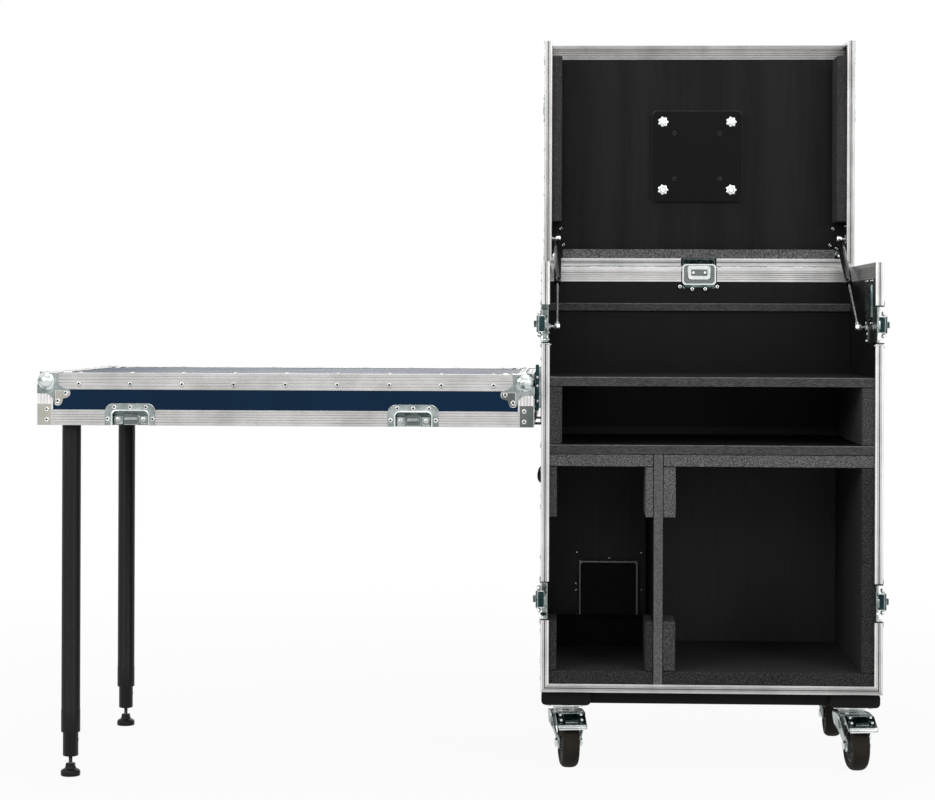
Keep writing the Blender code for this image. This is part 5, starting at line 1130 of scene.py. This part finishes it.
def struts():
    lean = Matrix.Rotation(-math.atan2(0.345, 0.192), 4, "X")
    length = STRUT_LENGTH
    start = length - 0.206
    eye = [(0.0058, -0.0058), (0.007, -0.004), (0.007, 0.004), (0.0058, 0.0058)]
    for name, side in SIDES:
        place = CASE @ Matrix.Translation((side * 0.306, STUD_Y, STUD_Z)) @ lean
        bm = bmesh.new()
        lathe(bm, (0, 0, 0), X, eye, 24)
        ball(bm, (side * 0.0035, 0, 0), 0.005, 1)
        rod(bm, (0, 0, 0.0055), (0, 0, 0.018), 0.0046, 18, 0, 0.0008)
        rod(bm, (0, 0, 0.016), (0, 0, start + 0.014), 0.0026, 20, 1)
        node = name + "_strut_rod"
        emit(node + "_chromed", bm, place, node, [CROWN, STEEL], (node,), 35.0)
        bm = bmesh.new()
        lathe(bm, (0, 0, 0), Z, [
            (0.0042, start + 0.004), (0.0042, start), (0.0064, start), (0.0078, start + 0.0018),
            (0.0078, start + 0.012), (0.0072, start + 0.0135), (0.0078, start + 0.015), (0.0078, length - 0.02),
            (0.0066, length - 0.0165), (0.0042, length - 0.0145), (0.0042, length - 0.006)], 28)
        lathe(bm, (0, 0, length), X, eye, 24, 1)
        ball(bm, (side * 0.0035, 0, length), 0.0052, 2)
        node = name + "_strut_tube"
        emit(node + "_painted", bm, place, node, [STRUT_BLACK, CROWN, STEEL], (node,), 35.0)


def lid_metal():
    seam = LID_GAP + RIM_BAR
    lid_finishes = alu_finishes(("X", "lid", "Y"))
    bars = bmesh.new()
    # The top bar's inward face takes painted shade
    shaded = [(*point, SHADE) if point == (-RIM_FACE, RIM_BAR) else point for point in rim_section(False)]
    for side in WAYS:
        start, end = (side * HALF, LID_FRONT, seam), (side * HALF, LID_FRONT, LID_TOP)
        bar(bars, shaded, start, end, X * side, Y, 0, 1, 2)
    bar(bars, shaded, (-HALF, LID_FRONT, LID_TOP), (HALF, LID_FRONT, LID_TOP), Z, Y, 1, 1, 0)
    leaf_top = LID_TOP - SKIN - PLY - GAP
    leaf_low = leaf_top - LEAF
    section = [(LID_FRONT + RIM_BAR, leaf_top), (LID_FRONT + 0.031, leaf_top), (LID_FRONT + 0.031, leaf_low)]
    for number in range(4):
        middle = LID_FRONT + 0.0275 - number * 0.0052
        section += [(middle + 0.0009, leaf_low), (middle + 0.0003, leaf_low + 0.0005),
                    (middle - 0.0003, leaf_low + 0.0005), (middle - 0.0009, leaf_low)]
    section.append((LID_FRONT + RIM_BAR, leaf_low))
    # The leaf under the lid's front rim takes painted shade
    prism(bars, section, 0, (-0.325, 0.325), 3)
    for side in WAYS:
        start, corner = (side * HALF, LID_FRONT, LID_GAP), (side * HALF, LID_BACK, LID_GAP)
        bar(bars, rim_section(True), start, corner, X * side, Z, 0, 1, 1)
        bar(bars, rim_section(True), (side * 0.0385, LID_BACK, LID_GAP), corner, Y, Z, 0, 1, 0)
    emit("lid_rim_bars", bars, LID, "lid", lid_finishes, ("lid_rim",), 25.0)

    bars = bmesh.new()
    section = angle_section(0.03)
    bar(bars, section, (-HALF + CLEAR, LID_BACK, LID_TOP), (HALF - CLEAR, LID_BACK, LID_TOP), Y, -Z)
    for side in WAYS:
        at = side * HALF
        start, end = (at, LID_FRONT + LEAF_CLEAR, LID_TOP), (at, LID_BACK - CLEAR, LID_TOP)
        bar(bars, section, start, end, X * side, -Z, 0, 0, 1)
        bar(bars, section, (at, LID_BACK, 0.0308), (at, LID_BACK, LID_TOP - CLEAR), X * side, -Y, 0, 0, 2)
    emit("lid_edge_bars", bars, LID, "lid", lid_finishes, ("lid_edges",), 25.0)

    bm = bmesh.new()
    for side in WAYS:
        ball_corner(bm, (side * HALF, LID_BACK, LID_TOP), (side, 1, 1))
    plated("lid_ball_corners", bm, LID, "lid")

    bm = bmesh.new()
    keeper_y = LID_FRONT + LID_LATCH[0]
    for side in WAYS:
        out = X * side
        place = side_frame(side)
        for shape, thickness, edge in (
                ((keeper_y - 0.03, keeper_y + 0.03, LID_GAP, LID_GAP + 0.034, 0.004), SHEET, 0.0004),
                ((keeper_y - 0.013, keeper_y + 0.013, LID_GAP + 0.012, LID_GAP + 0.017, 0.002), 0.0034, 0.0008),
                ((LID_FRONT, LID_FRONT + 0.052, LID_GAP, LID_GAP + 0.03, 0.004), SHEET, 0.0004)):
            plate(bm, rounded(*shape), thickness, place, 0, edge)
        spots = [(-0.024, 0.026), (0.024, 0.026), (0.0, 0.027), (-0.024, 0.008), (0.024, 0.008)]
        sheet_rivets(bm, place, [(keeper_y + u, v) for u, v in spots])
        sheet_rivets(bm, place, [(LID_FRONT + u, 0.015) for u in (0.012, 0.04)])
        for along in row(LID_FRONT + 0.235, -0.06, 3):
            rivet(bm, (side * HALF, along, LID_GAP + 0.02), out, index=HEAD, hole=PIT_SHADE)
        for along in row(LID_FRONT + 0.06, -0.085, 4):
            rivet(bm, (side * HALF, along, LID_TOP - 0.02), out, index=HEAD, hole=PIT_SHADE)
            rivet(bm, (side * (HALF - 0.02), along, LID_TOP), Z, index=HEAD, hole=PIT_SHADE)
    for across in row(-0.26, 0.26, 6):
        for spot, out in (
                ((across, LID_BACK, LID_TOP - 0.02), Y), ((across, LID_BACK - 0.02, LID_TOP), Z),
                ((across, LID_FRONT + 0.02, LID_TOP), Z)):
            rivet(bm, spot, out, index=HEAD, hole=PIT_SHADE)
    place = axes_frame(Z, X, Y, Y * (LID_BACK - SINK))
    dish(bm, (0.0, 0.026, -0.035, 0.035), 0.0145, 0.01, place, open_low=LID_GAP)
    plated("lid_hardware", bm, LID, "lid", smooth=35.0)

    bm = bmesh.new()
    for side in WAYS:
        shape = rounded(-0.078, -0.048, 0.0093, 0.0505, 0.005)
        strut_stud(bm, side, 0.3217, 0.324, 0.319, shape, -0.063, 0.02)
        for u, v in ((-0.07, 0.043), (-0.056, 0.043)):
            rivet(bm, (side * 0.3217, u, v), -X * side, 0.0034, 0.0016, HEAD, PIT_SHADE)
        for u, v in ((-0.094, 0.06), (-0.094, 0.085), (-0.045, 0.088), (-0.064, 0.09)):
            rivet(bm, (side * WALL_INSIDE, u, v), -X * side, 0.004, 0.0022, HEAD, PIT_SHADE)
        for across, along in ((0.308, -0.045), (0.294, -0.052), (0.3, -0.088)):
            rivet(bm, (side * across, along, LID_TOP - SKIN - PLY), -Z, 0.004, 0.0022, HEAD, PIT_SHADE)
    plated("lid_inner_fixings", bm, LID, "lid", smooth=35.0)


def lid_inside():
    low, high = 0.0092, 0.0972
    for name, side in SIDES:
        near, far = span(side, 0.2975, 0.3237)
        soft_block(
            name + "_lid_strip", (near, LID_FRONT + 0.0315, low), (far, -0.1, high), (name + "_lid_foam",), LID,
            "lid", finish=FOAM_SMOOTH)
    soft_block(
        "rear_lid_strip", (-0.2962, -0.04, low), (0.2962, -0.018, high), ("rear_lid_foam",), LID, "lid",
        finish=FOAM_LIT)

    centre = Vector((0.0, -0.248, 0.0))
    bm = bmesh.new()
    shape = rounded(-0.1, 0.1, -0.348, -0.148, 0.013, 8)
    face = axes_frame(X, -Y, -Z, (0, 0, 0.0885))
    plate(bm, [(u, -v) for u, v in shape][::-1], 0.005, face, 0, 0.0012, 4)
    for across, along in grid(WAYS, WAYS):
        way = Vector((across, along, 0.0))
        x, y = (centre + way * 0.05).xy
        lathe(bm, (x, y, 0.0836), -Z, [(0.0042, 0.0), (0.004, 0.0003), (0.003, 0.0004), (0.0028, 0.0)], 18, 2)
        lathe(bm, (x, y, 0.0837), -Z, [(0.0027, 0.0), (0.002, 0.0002)], 14, 3)
        star_bolt(bm, centre + way * 0.075, 0.0835, 1)
    # The plate's bevel and washers take a painted highlight, and its holes painted shade
    finishes = [PLATE_BLACK, STEEL, PLATE_EDGE_HIGHLIGHT, HOLE_SHADE, PLATE_EDGE_HIGHLIGHT]
    emit("screen_plate", bm, LID, "lid", finishes, ("monitor_plate",), 35.0)


def star_bolt(bm, spot, height, index):
    """Bolt with a lobed washer and a hex head, standing down from a height in lid coordinates."""
    rings = []
    for size, drop in ((1.0, 0.0), (1.0, 0.0018), (0.9, 0.0026), (0.78, 0.0027), (0.74, 0.0036)):
        ring = []
        for angle in circle(48):
            radius = (0.0108 + 0.0012 * math.cos(7 * angle)) * size
            ring.append((spot.x + radius * math.cos(angle), spot.y + radius * math.sin(angle), height - drop))
        rings.append(ring)
    loft(bm, rings, index)
    base = (spot.x, spot.y, height - 0.003)
    head = [(0.0068, 0.0), (0.0068, 0.0038), (0.0058, 0.0048), (0.003, 0.0048), (0.0026, 0.003)]
    lathe(bm, base, -Z, head, 6, index)
    rod(bm, (spot.x, spot.y, height), (spot.x, spot.y, 0.0972), 0.005, 16, index)


def table():
    section = rim_section(True)
    bm = bmesh.new()
    cut = 0.0353
    stops = [T_LEFT, KEEPERS[0] - cut, KEEPERS[0] + cut, KEEPERS[1] - cut, KEEPERS[1] + cut, T_RIGHT]
    for side_y, way in T_SIDES:
        for number in (0, 2, 4):
            start, end = (stops[number], side_y, T_LOW), (stops[number + 1], side_y, T_LOW)
            bar(bm, section, start, end, Y * way, Z, int(number == 0), int(number == 4))
    for across, way in T_ENDS:
        bar(bm, section, (across, T_FRONT, T_LOW), (across, T_BACK, T_LOW), X * way, Z, 1, 1, 1)
    angle = angle_section(0.032)
    for side_y, way in T_SIDES:
        bar(bm, angle, (T_LEFT + CLEAR, side_y, T_TOP), (T_RIGHT - CLEAR, side_y, T_TOP), Y * way, -Z)
    for across, way in T_ENDS:
        bar(bm, angle, (across, T_FRONT + CLEAR, T_TOP), (across, T_BACK - CLEAR, T_TOP), X * way, -Z, 0, 0, 1)
        for side_y, face in T_SIDES:
            low, high = (across, side_y, T_LOW + LEAF_CLEAR), (across, side_y, T_TOP - CLEAR)
            bar(bm, angle_section(0.03), low, high, X * way, -Y * face, 0, 0, 2)
    emit("table_bars", bm, CASE, "table", alu_finishes(), ("table_frame",), 25.0)

    corners = [(across, sx, along, sy) for across, sx in T_ENDS for along, sy in T_SIDES]
    bm = bmesh.new()
    for across, sx, along, sy in corners:
        ball_corner(bm, (across, along, T_TOP), (sx, sy, 1), 0.032, pad=BEIGE if sx < 0 else GREY)
    plated("table_ball_corners", bm, CASE, "table")

    bm = bmesh.new()
    # Strips tagged 3 along the sheet edges and the bend take bright steel: a painted highlight
    brace = [
        (0.0, 0.0012, 0), (0.0, 0.0278, 3), (0.0, 0.029, 3), (-0.0012, 0.029), (-0.0012, 0.0012),
        (-0.029, 0.0012, 3), (-0.029, 0.0, 3), (-0.0278, 0.0, 0), (-0.0012, 0.0, 3)]
    for across, sx, along, sy in corners:
        x, y = across + sx * 0.001, along + sy * 0.001
        rings = [[
            Vector((x, y, height)) + X * sx * point[0] - Y * sy * point[1] for point in brace]
            for height in (T_LOW + GAP, T_LOW + 0.041)]
        main = 4 if sx < 0 else 0
        loft(bm, rings, main, sides={
            step: 3 if point[2] == 3 else main for step, point in enumerate(brace) if len(point) > 2})
        for height in (0.0105, 0.0305):
            rivet(bm, (across - sx * 0.018, y, T_LOW + height), Y * sy, 0.0046, 0.0017, 1, 2)
            rivet(bm, (x, along - sy * 0.018, T_LOW + height), X * sx, 0.0046, 0.0017, 1, 2)
    finishes = [GREY_PLATE, RIVET, HOLE_SHADE, STEEL, BEIGE_PLATE]
    emit("table_corner_braces", bm, CASE, "table", finishes, smooth=30.0)

    bm = bmesh.new()
    for across in row(T_LEFT + 0.08, T_LEFT + 0.881, 9):
        for side_y, way in T_SIDES:
            rivet(bm, (across, side_y, T_TOP - 0.021), Y * way)
            rivet(bm, (across, side_y - way * 0.02, T_TOP), Z)
    for along in row(T_FRONT + 0.085, T_BACK - 0.085, 6):
        for across, way in T_ENDS:
            rivet(bm, (across, along, T_TOP - 0.021), X * way)
            rivet(bm, (across - way * 0.02, along, T_TOP), Z)
    emit("table_rivets", bm, CASE, "table", [RIVET, HOLE_SHADE], smooth=40.0)
    table_keepers()
    table_hooks()


def table_keepers():
    number = 0
    for side_y, way in T_SIDES:
        for across in KEEPERS:
            number += 1
            bm = bmesh.new()
            place = axes_frame(Z, X * way, Y * way, (across, side_y - way * SINK, T_LOW))
            dish(bm, (0.0, 0.028, -0.035, 0.035), 0.012, 0.0145, place, 0.008, GAP)
            spots = grid((0.0352,), (-0.0305, 0.0, 0.0305)) + grid((0.0125,), (-0.0435, 0.0435))
            sheet_rivets(bm, place, spots, 0.0046, 0.0017)
            floor = shifted(place, 0, 0, -0.0108)
            # The pads' and hook's bright bevels are painted highlights
            plate(bm, rounded(0.001, 0.023, -0.0145, 0.0145, 0.002), 0.002, floor, GREY, 0.0012, BRIGHT)
            plate(bm, rounded(0.01, 0.0165, -0.013, 0.013, 0.0015), 0.0072, floor, FLAT, 0.0012, BRIGHT)
            button = [(0.0048, 0.0), (0.0045, 0.0012), (0.003, 0.0016), (0.0022, 0.0004)]
            for v in (-0.0245, 0.0245):
                shape = rounded(0.002, 0.02, v - 0.0088, v + 0.0088, 0.004)
                plate(bm, shape, 0.003, floor, FLAT, 0.0018, BRIGHT)
                lathe(bm, floor @ Vector((0.011, v, 0.0028)), Y * way, button, 20, HEAD)
            plated("table_keeper_%d" % number, bm, CASE, "table")


def table_hooks():
    """Coated plate on the case's side with the two hooks that carry the table, and the table's edge stop."""
    bm = bmesh.new()
    place = axes_frame(Y, Z, -X, (-0.3348, 0, 0))
    plate(bm, rounded(0.07, 0.42, 0.6807, 0.7367, 0.005), 0.003, place, 0, 0.0006)
    sheet_rivets(bm, place, grid((0.085, 0.165, 0.245, 0.325, 0.405), (0.722,)), 0.0044, 0.0018, 0.003)
    hook = [(-0.3363, 0.6807), (-0.372, 0.6807), (-0.372, 0.6997), (-0.369, 0.6997), (-0.369, 0.6837),
            (-0.3363, 0.6837)]
    for along in (0.1, 0.39):
        prism(bm, hook, 1, (along - 0.03, along + 0.03))
    stop = bmesh.new()
    block(stop, (-0.3472, 0.004, 0.712), (-0.3404, 0.01, 0.802), DEEP)
    block(stop, (-0.3406, 0.008, 0.716), (-0.3364, 0.01, 0.798))
    for height in (0.73, 0.76, 0.777):
        rivet(stop, (-0.3438, 0.004, height), -Y, 0.0026, 0.0012, WHITE, PIT_SHADE)
    plated("table_edge_stop", stop, bevel=0.0006)
    node = "table_hook_plate"
    emit(node + "_coated", bm, CASE, "case", [POWDER, RIVET, HOLE_SHADE], (node,), 30.0, 0.0005)


def legs():
    top = T_TOP - SKIN - PLY - GAP
    thread = [(0.0, 0.066), (0.0036, 0.066)]
    height = 0.065
    while height > 0.026:
        thread += [(0.004, height), (0.0034, height - 0.0006)]
        height -= 0.00125
    for name, y in (("front", -0.098), ("rear", 0.49)):
        place = CASE @ Matrix.Translation((-1.249, y, 0.0))
        bm = bmesh.new()
        lathe(bm, (0, 0, 0), Z, [
            (0.0, top), (0.0262, top), (0.027, top - 0.0008), (0.027, top - 0.0062), (0.0262, top - 0.007),
            (0.019, top - 0.007), (0.0182, top - 0.008), (0.0182, 0.13), (0.0186, 0.129), (0.0186, 0.086),
            (0.0174, 0.085), (0.0155, 0.085), (0.0155, 0.3), (0.0, 0.3)], 64)
        node = name + "_leg_tube"
        emit(node + "_coated", bm, place, "table", POWDER, (node,), 35.0)
        bm = bmesh.new()
        lathe(bm, (0, 0, 0), Z, [
            (0.0, 0.205), (0.015, 0.205), (0.015, 0.04), (0.0145, 0.039), (0.009, 0.039), (0.009, 0.0375),
            (0.0044, 0.0375), (0.0044, 0.08), (0.0, 0.08)], 56)
        for height in (0.07, 0.095, 0.12):
            rod(bm, (0.014, 0, height), (0.0153, 0, height), 0.0028, 14)
        node = name + "_leg_inner"
        emit(node + "_coated", bm, place, node, POWDER, (node,), 35.0)
        bm = bmesh.new()
        lathe(bm, (0, 0, 0), Z, thread + [(0.0038, 0.022), (0.0, 0.022)], 24, 1)
        nut = [(0.0, 0.0245), (0.009, 0.0245), (0.01, 0.0235), (0.01, 0.019), (0.0, 0.018)]
        lathe(bm, (0, 0, 0), Z, nut, 6, 0)
        lathe(bm, (0, 0, 0), Z, [
            (0.0, 0.0195), (0.0085, 0.0195), (0.01, 0.018), (0.011, 0.0145), (0.0165, 0.0118), (0.0185, 0.0098),
            (0.019, 0.0078), (0.019, 0.0018), (0.018, 0.0), (0.0, 0.0)], 48, 0)
        node = name + "_leg_foot"
        emit(node + "_turned", bm, place, node, [POWDER, GREY_PLATE], (node,), 35.0)


def cad_materials():
    """Carried-over panels get the laminate outside and the black ply inside."""
    x, y = CASE.translation.xy
    lid_y, lid_z = LID.translation.yz
    inner = 0.3335
    side = skin_material("side_wall_skin", ((0, x + inner, 1), (0, x - inner, -1)))
    # The rear wall's ply below the lower shelf is painted five times lighter, as painted light in the bays
    rear = skin_material("rear_wall_skin", ((1, y + 0.487, 1),), low_painted_light=5.0)
    lid = skin_material("lid_skin", (
        (0, x + inner, 1), (0, x - inner, -1), (1, lid_y + 0.1055, 1), (2, lid_z + 0.0055, -1)), True)
    table_skin = skin_material("table_skin", (
        (0, x + T_LEFT + 0.0025, -1), (0, x + T_RIGHT - 0.0025, 1), (1, T_FRONT + y + 0.0025, -1),
        (1, T_BACK + y - 0.0025, 1), (2, T_TOP - 0.0025, 1)), True)
    skins = {
        "left_wall": side, "right_wall": side, "rear_wall": rear, "lid_shell": lid, "table_shell": table_skin,
        "base_panel": PLY_X}
    for node, skin in skins.items():
        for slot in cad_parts[node].material_slots:
            slot.material = skin


# ---------- stage


def seen_directly(tree):
    """1 for camera, glossy and transmitted rays, so that the eye and the metal both meet the white backdrop."""
    path = add_node(tree, "LightPath").outputs
    value = combine(tree, "MAXIMUM", path["Is Camera Ray"], path["Is Glossy Ray"])
    return combine(tree, "MAXIMUM", value, path["Is Transmission Ray"])


def whiten(tree, factor, base, white, kind):
    """Fades a shader into a white one and brings the result to the tree's output."""
    mix = add_node(tree, "MixShader", {"Fac": factor, 1: base, 2: white})
    output = next(node for node in tree.nodes if node.type == kind)
    tree.links.new(mix.outputs[0], output.inputs["Surface"])


def stage():
    """Pale floor that fades into a white backdrop, and soft studio light from the camera's side."""
    bpy.ops.mesh.primitive_plane_add(size=60.0, location=(0.0, 20.0, -0.0004))
    floor = bpy.context.object
    floor.name = "studio_floor"
    made, tree = node_material("studio_floor_paint", specular=0.1)
    shader = tree.nodes["Principled BSDF"]
    vector = coordinates(tree)
    tone = ramp(tree, noise_value(tree, vector, 3.0, 3.0), (0.3, 0.5), (0.7, 0.53))
    wire(tree, shader, {"Base Color": tone, "Roughness": 0.9})
    shifted_by = add_node(tree, "VectorMath", {0: vector, 1: (0.0, 20.0, 0.0)}, operation="ADD").outputs[0]
    away = add_node(tree, "VectorMath", {0: shifted_by}, operation="LENGTH").outputs["Value"]
    share = combine(tree, "MULTIPLY", seen_directly(tree), levels(tree, away, 0.94, 1.0, 0.9, 3.2))
    white = add_node(tree, "Emission", {"Strength": 1.0}).outputs[0]
    whiten(tree, share, shader.outputs[0], white, "OUTPUT_MATERIAL")
    floor.data.materials.append(made)

    world = bpy.data.worlds.new("studio_world")
    bpy.context.scene.world = world
    world.use_nodes = True
    tree = world.node_tree
    background = tree.nodes["Background"]
    wire(tree, background, {"Color": (0.82, 0.83, 0.85, 1.0), "Strength": 0.34})
    backdrop = add_node(tree, "Background", {"Color": (1.0, 1.0, 1.0, 1.0), "Strength": 1.0})
    whiten(tree, seen_directly(tree), background.outputs[0], backdrop.outputs[0], "OUTPUT_WORLD")

    for name, place, target, size, power in (
            ("front_key", (0.3, -4.9, 2.3), (0.1, 0.0, 0.85), (2.6, 1.3), 22.0),
            ("key_left", (-2.8, -3.6, 2.4), (0.1, 0.0, 0.8), (2.2, 1.8), 62.0),
            ("fill_right", (2.9, -3.4, 2.1), (0.3, 0.0, 0.8), (1.8, 2.0), 46.0),
            ("top", (0.0, -0.6, 3.6), (0.0, 0.0, 0.6), (3.4, 2.4), 40.0),
            ("back_rim", (0.2, 3.4, 2.4), (0.0, 0.0, 0.8), (3.0, 1.6), 30.0)):
        data = bpy.data.lights.new(name, "AREA")
        data.shape = "RECTANGLE"
        data.size, data.size_y = size
        data.energy = power
        item = bpy.data.objects.new(name, data)
        item.location = place
        item.rotation_euler = (Vector(target) - Vector(place)).to_track_quat("-Z", "Y").to_euler()
        bpy.context.scene.collection.objects.link(item)


def camera():
    data = bpy.data.cameras.new("photo_camera")
    data.sensor_width = 36.0
    data.lens = 2403.4 / 935.0 * 36.0
    data.shift_x = 0.0
    data.shift_y = -77.85 / 935.0
    data.clip_end = 100.0
    item = bpy.data.objects.new("photo_camera", data)
    turn = (
        Matrix.Rotation(math.radians(2.37), 4, "Z") @ Matrix.Rotation(math.radians(90.0), 4, "X")
        @ Matrix.Rotation(math.radians(0.203), 4, "Z"))
    item.matrix_world = CASE @ Matrix.Translation((-0.2857, -4.7446, 0.8855)) @ turn
    bpy.context.scene.collection.objects.link(item)
    bpy.context.scene.camera = item
    bpy.context.scene.view_settings.view_transform = "Standard"


camera()
cad_materials()
case_metal()
latch_dishes()
handle_dishes()
rear_hardware()
foam_lining()
plywood()
strut_brackets()
castors()
struts()
lid_metal()
lid_inside()
table()
legs()
stage()

bpy.context.view_layer.update()
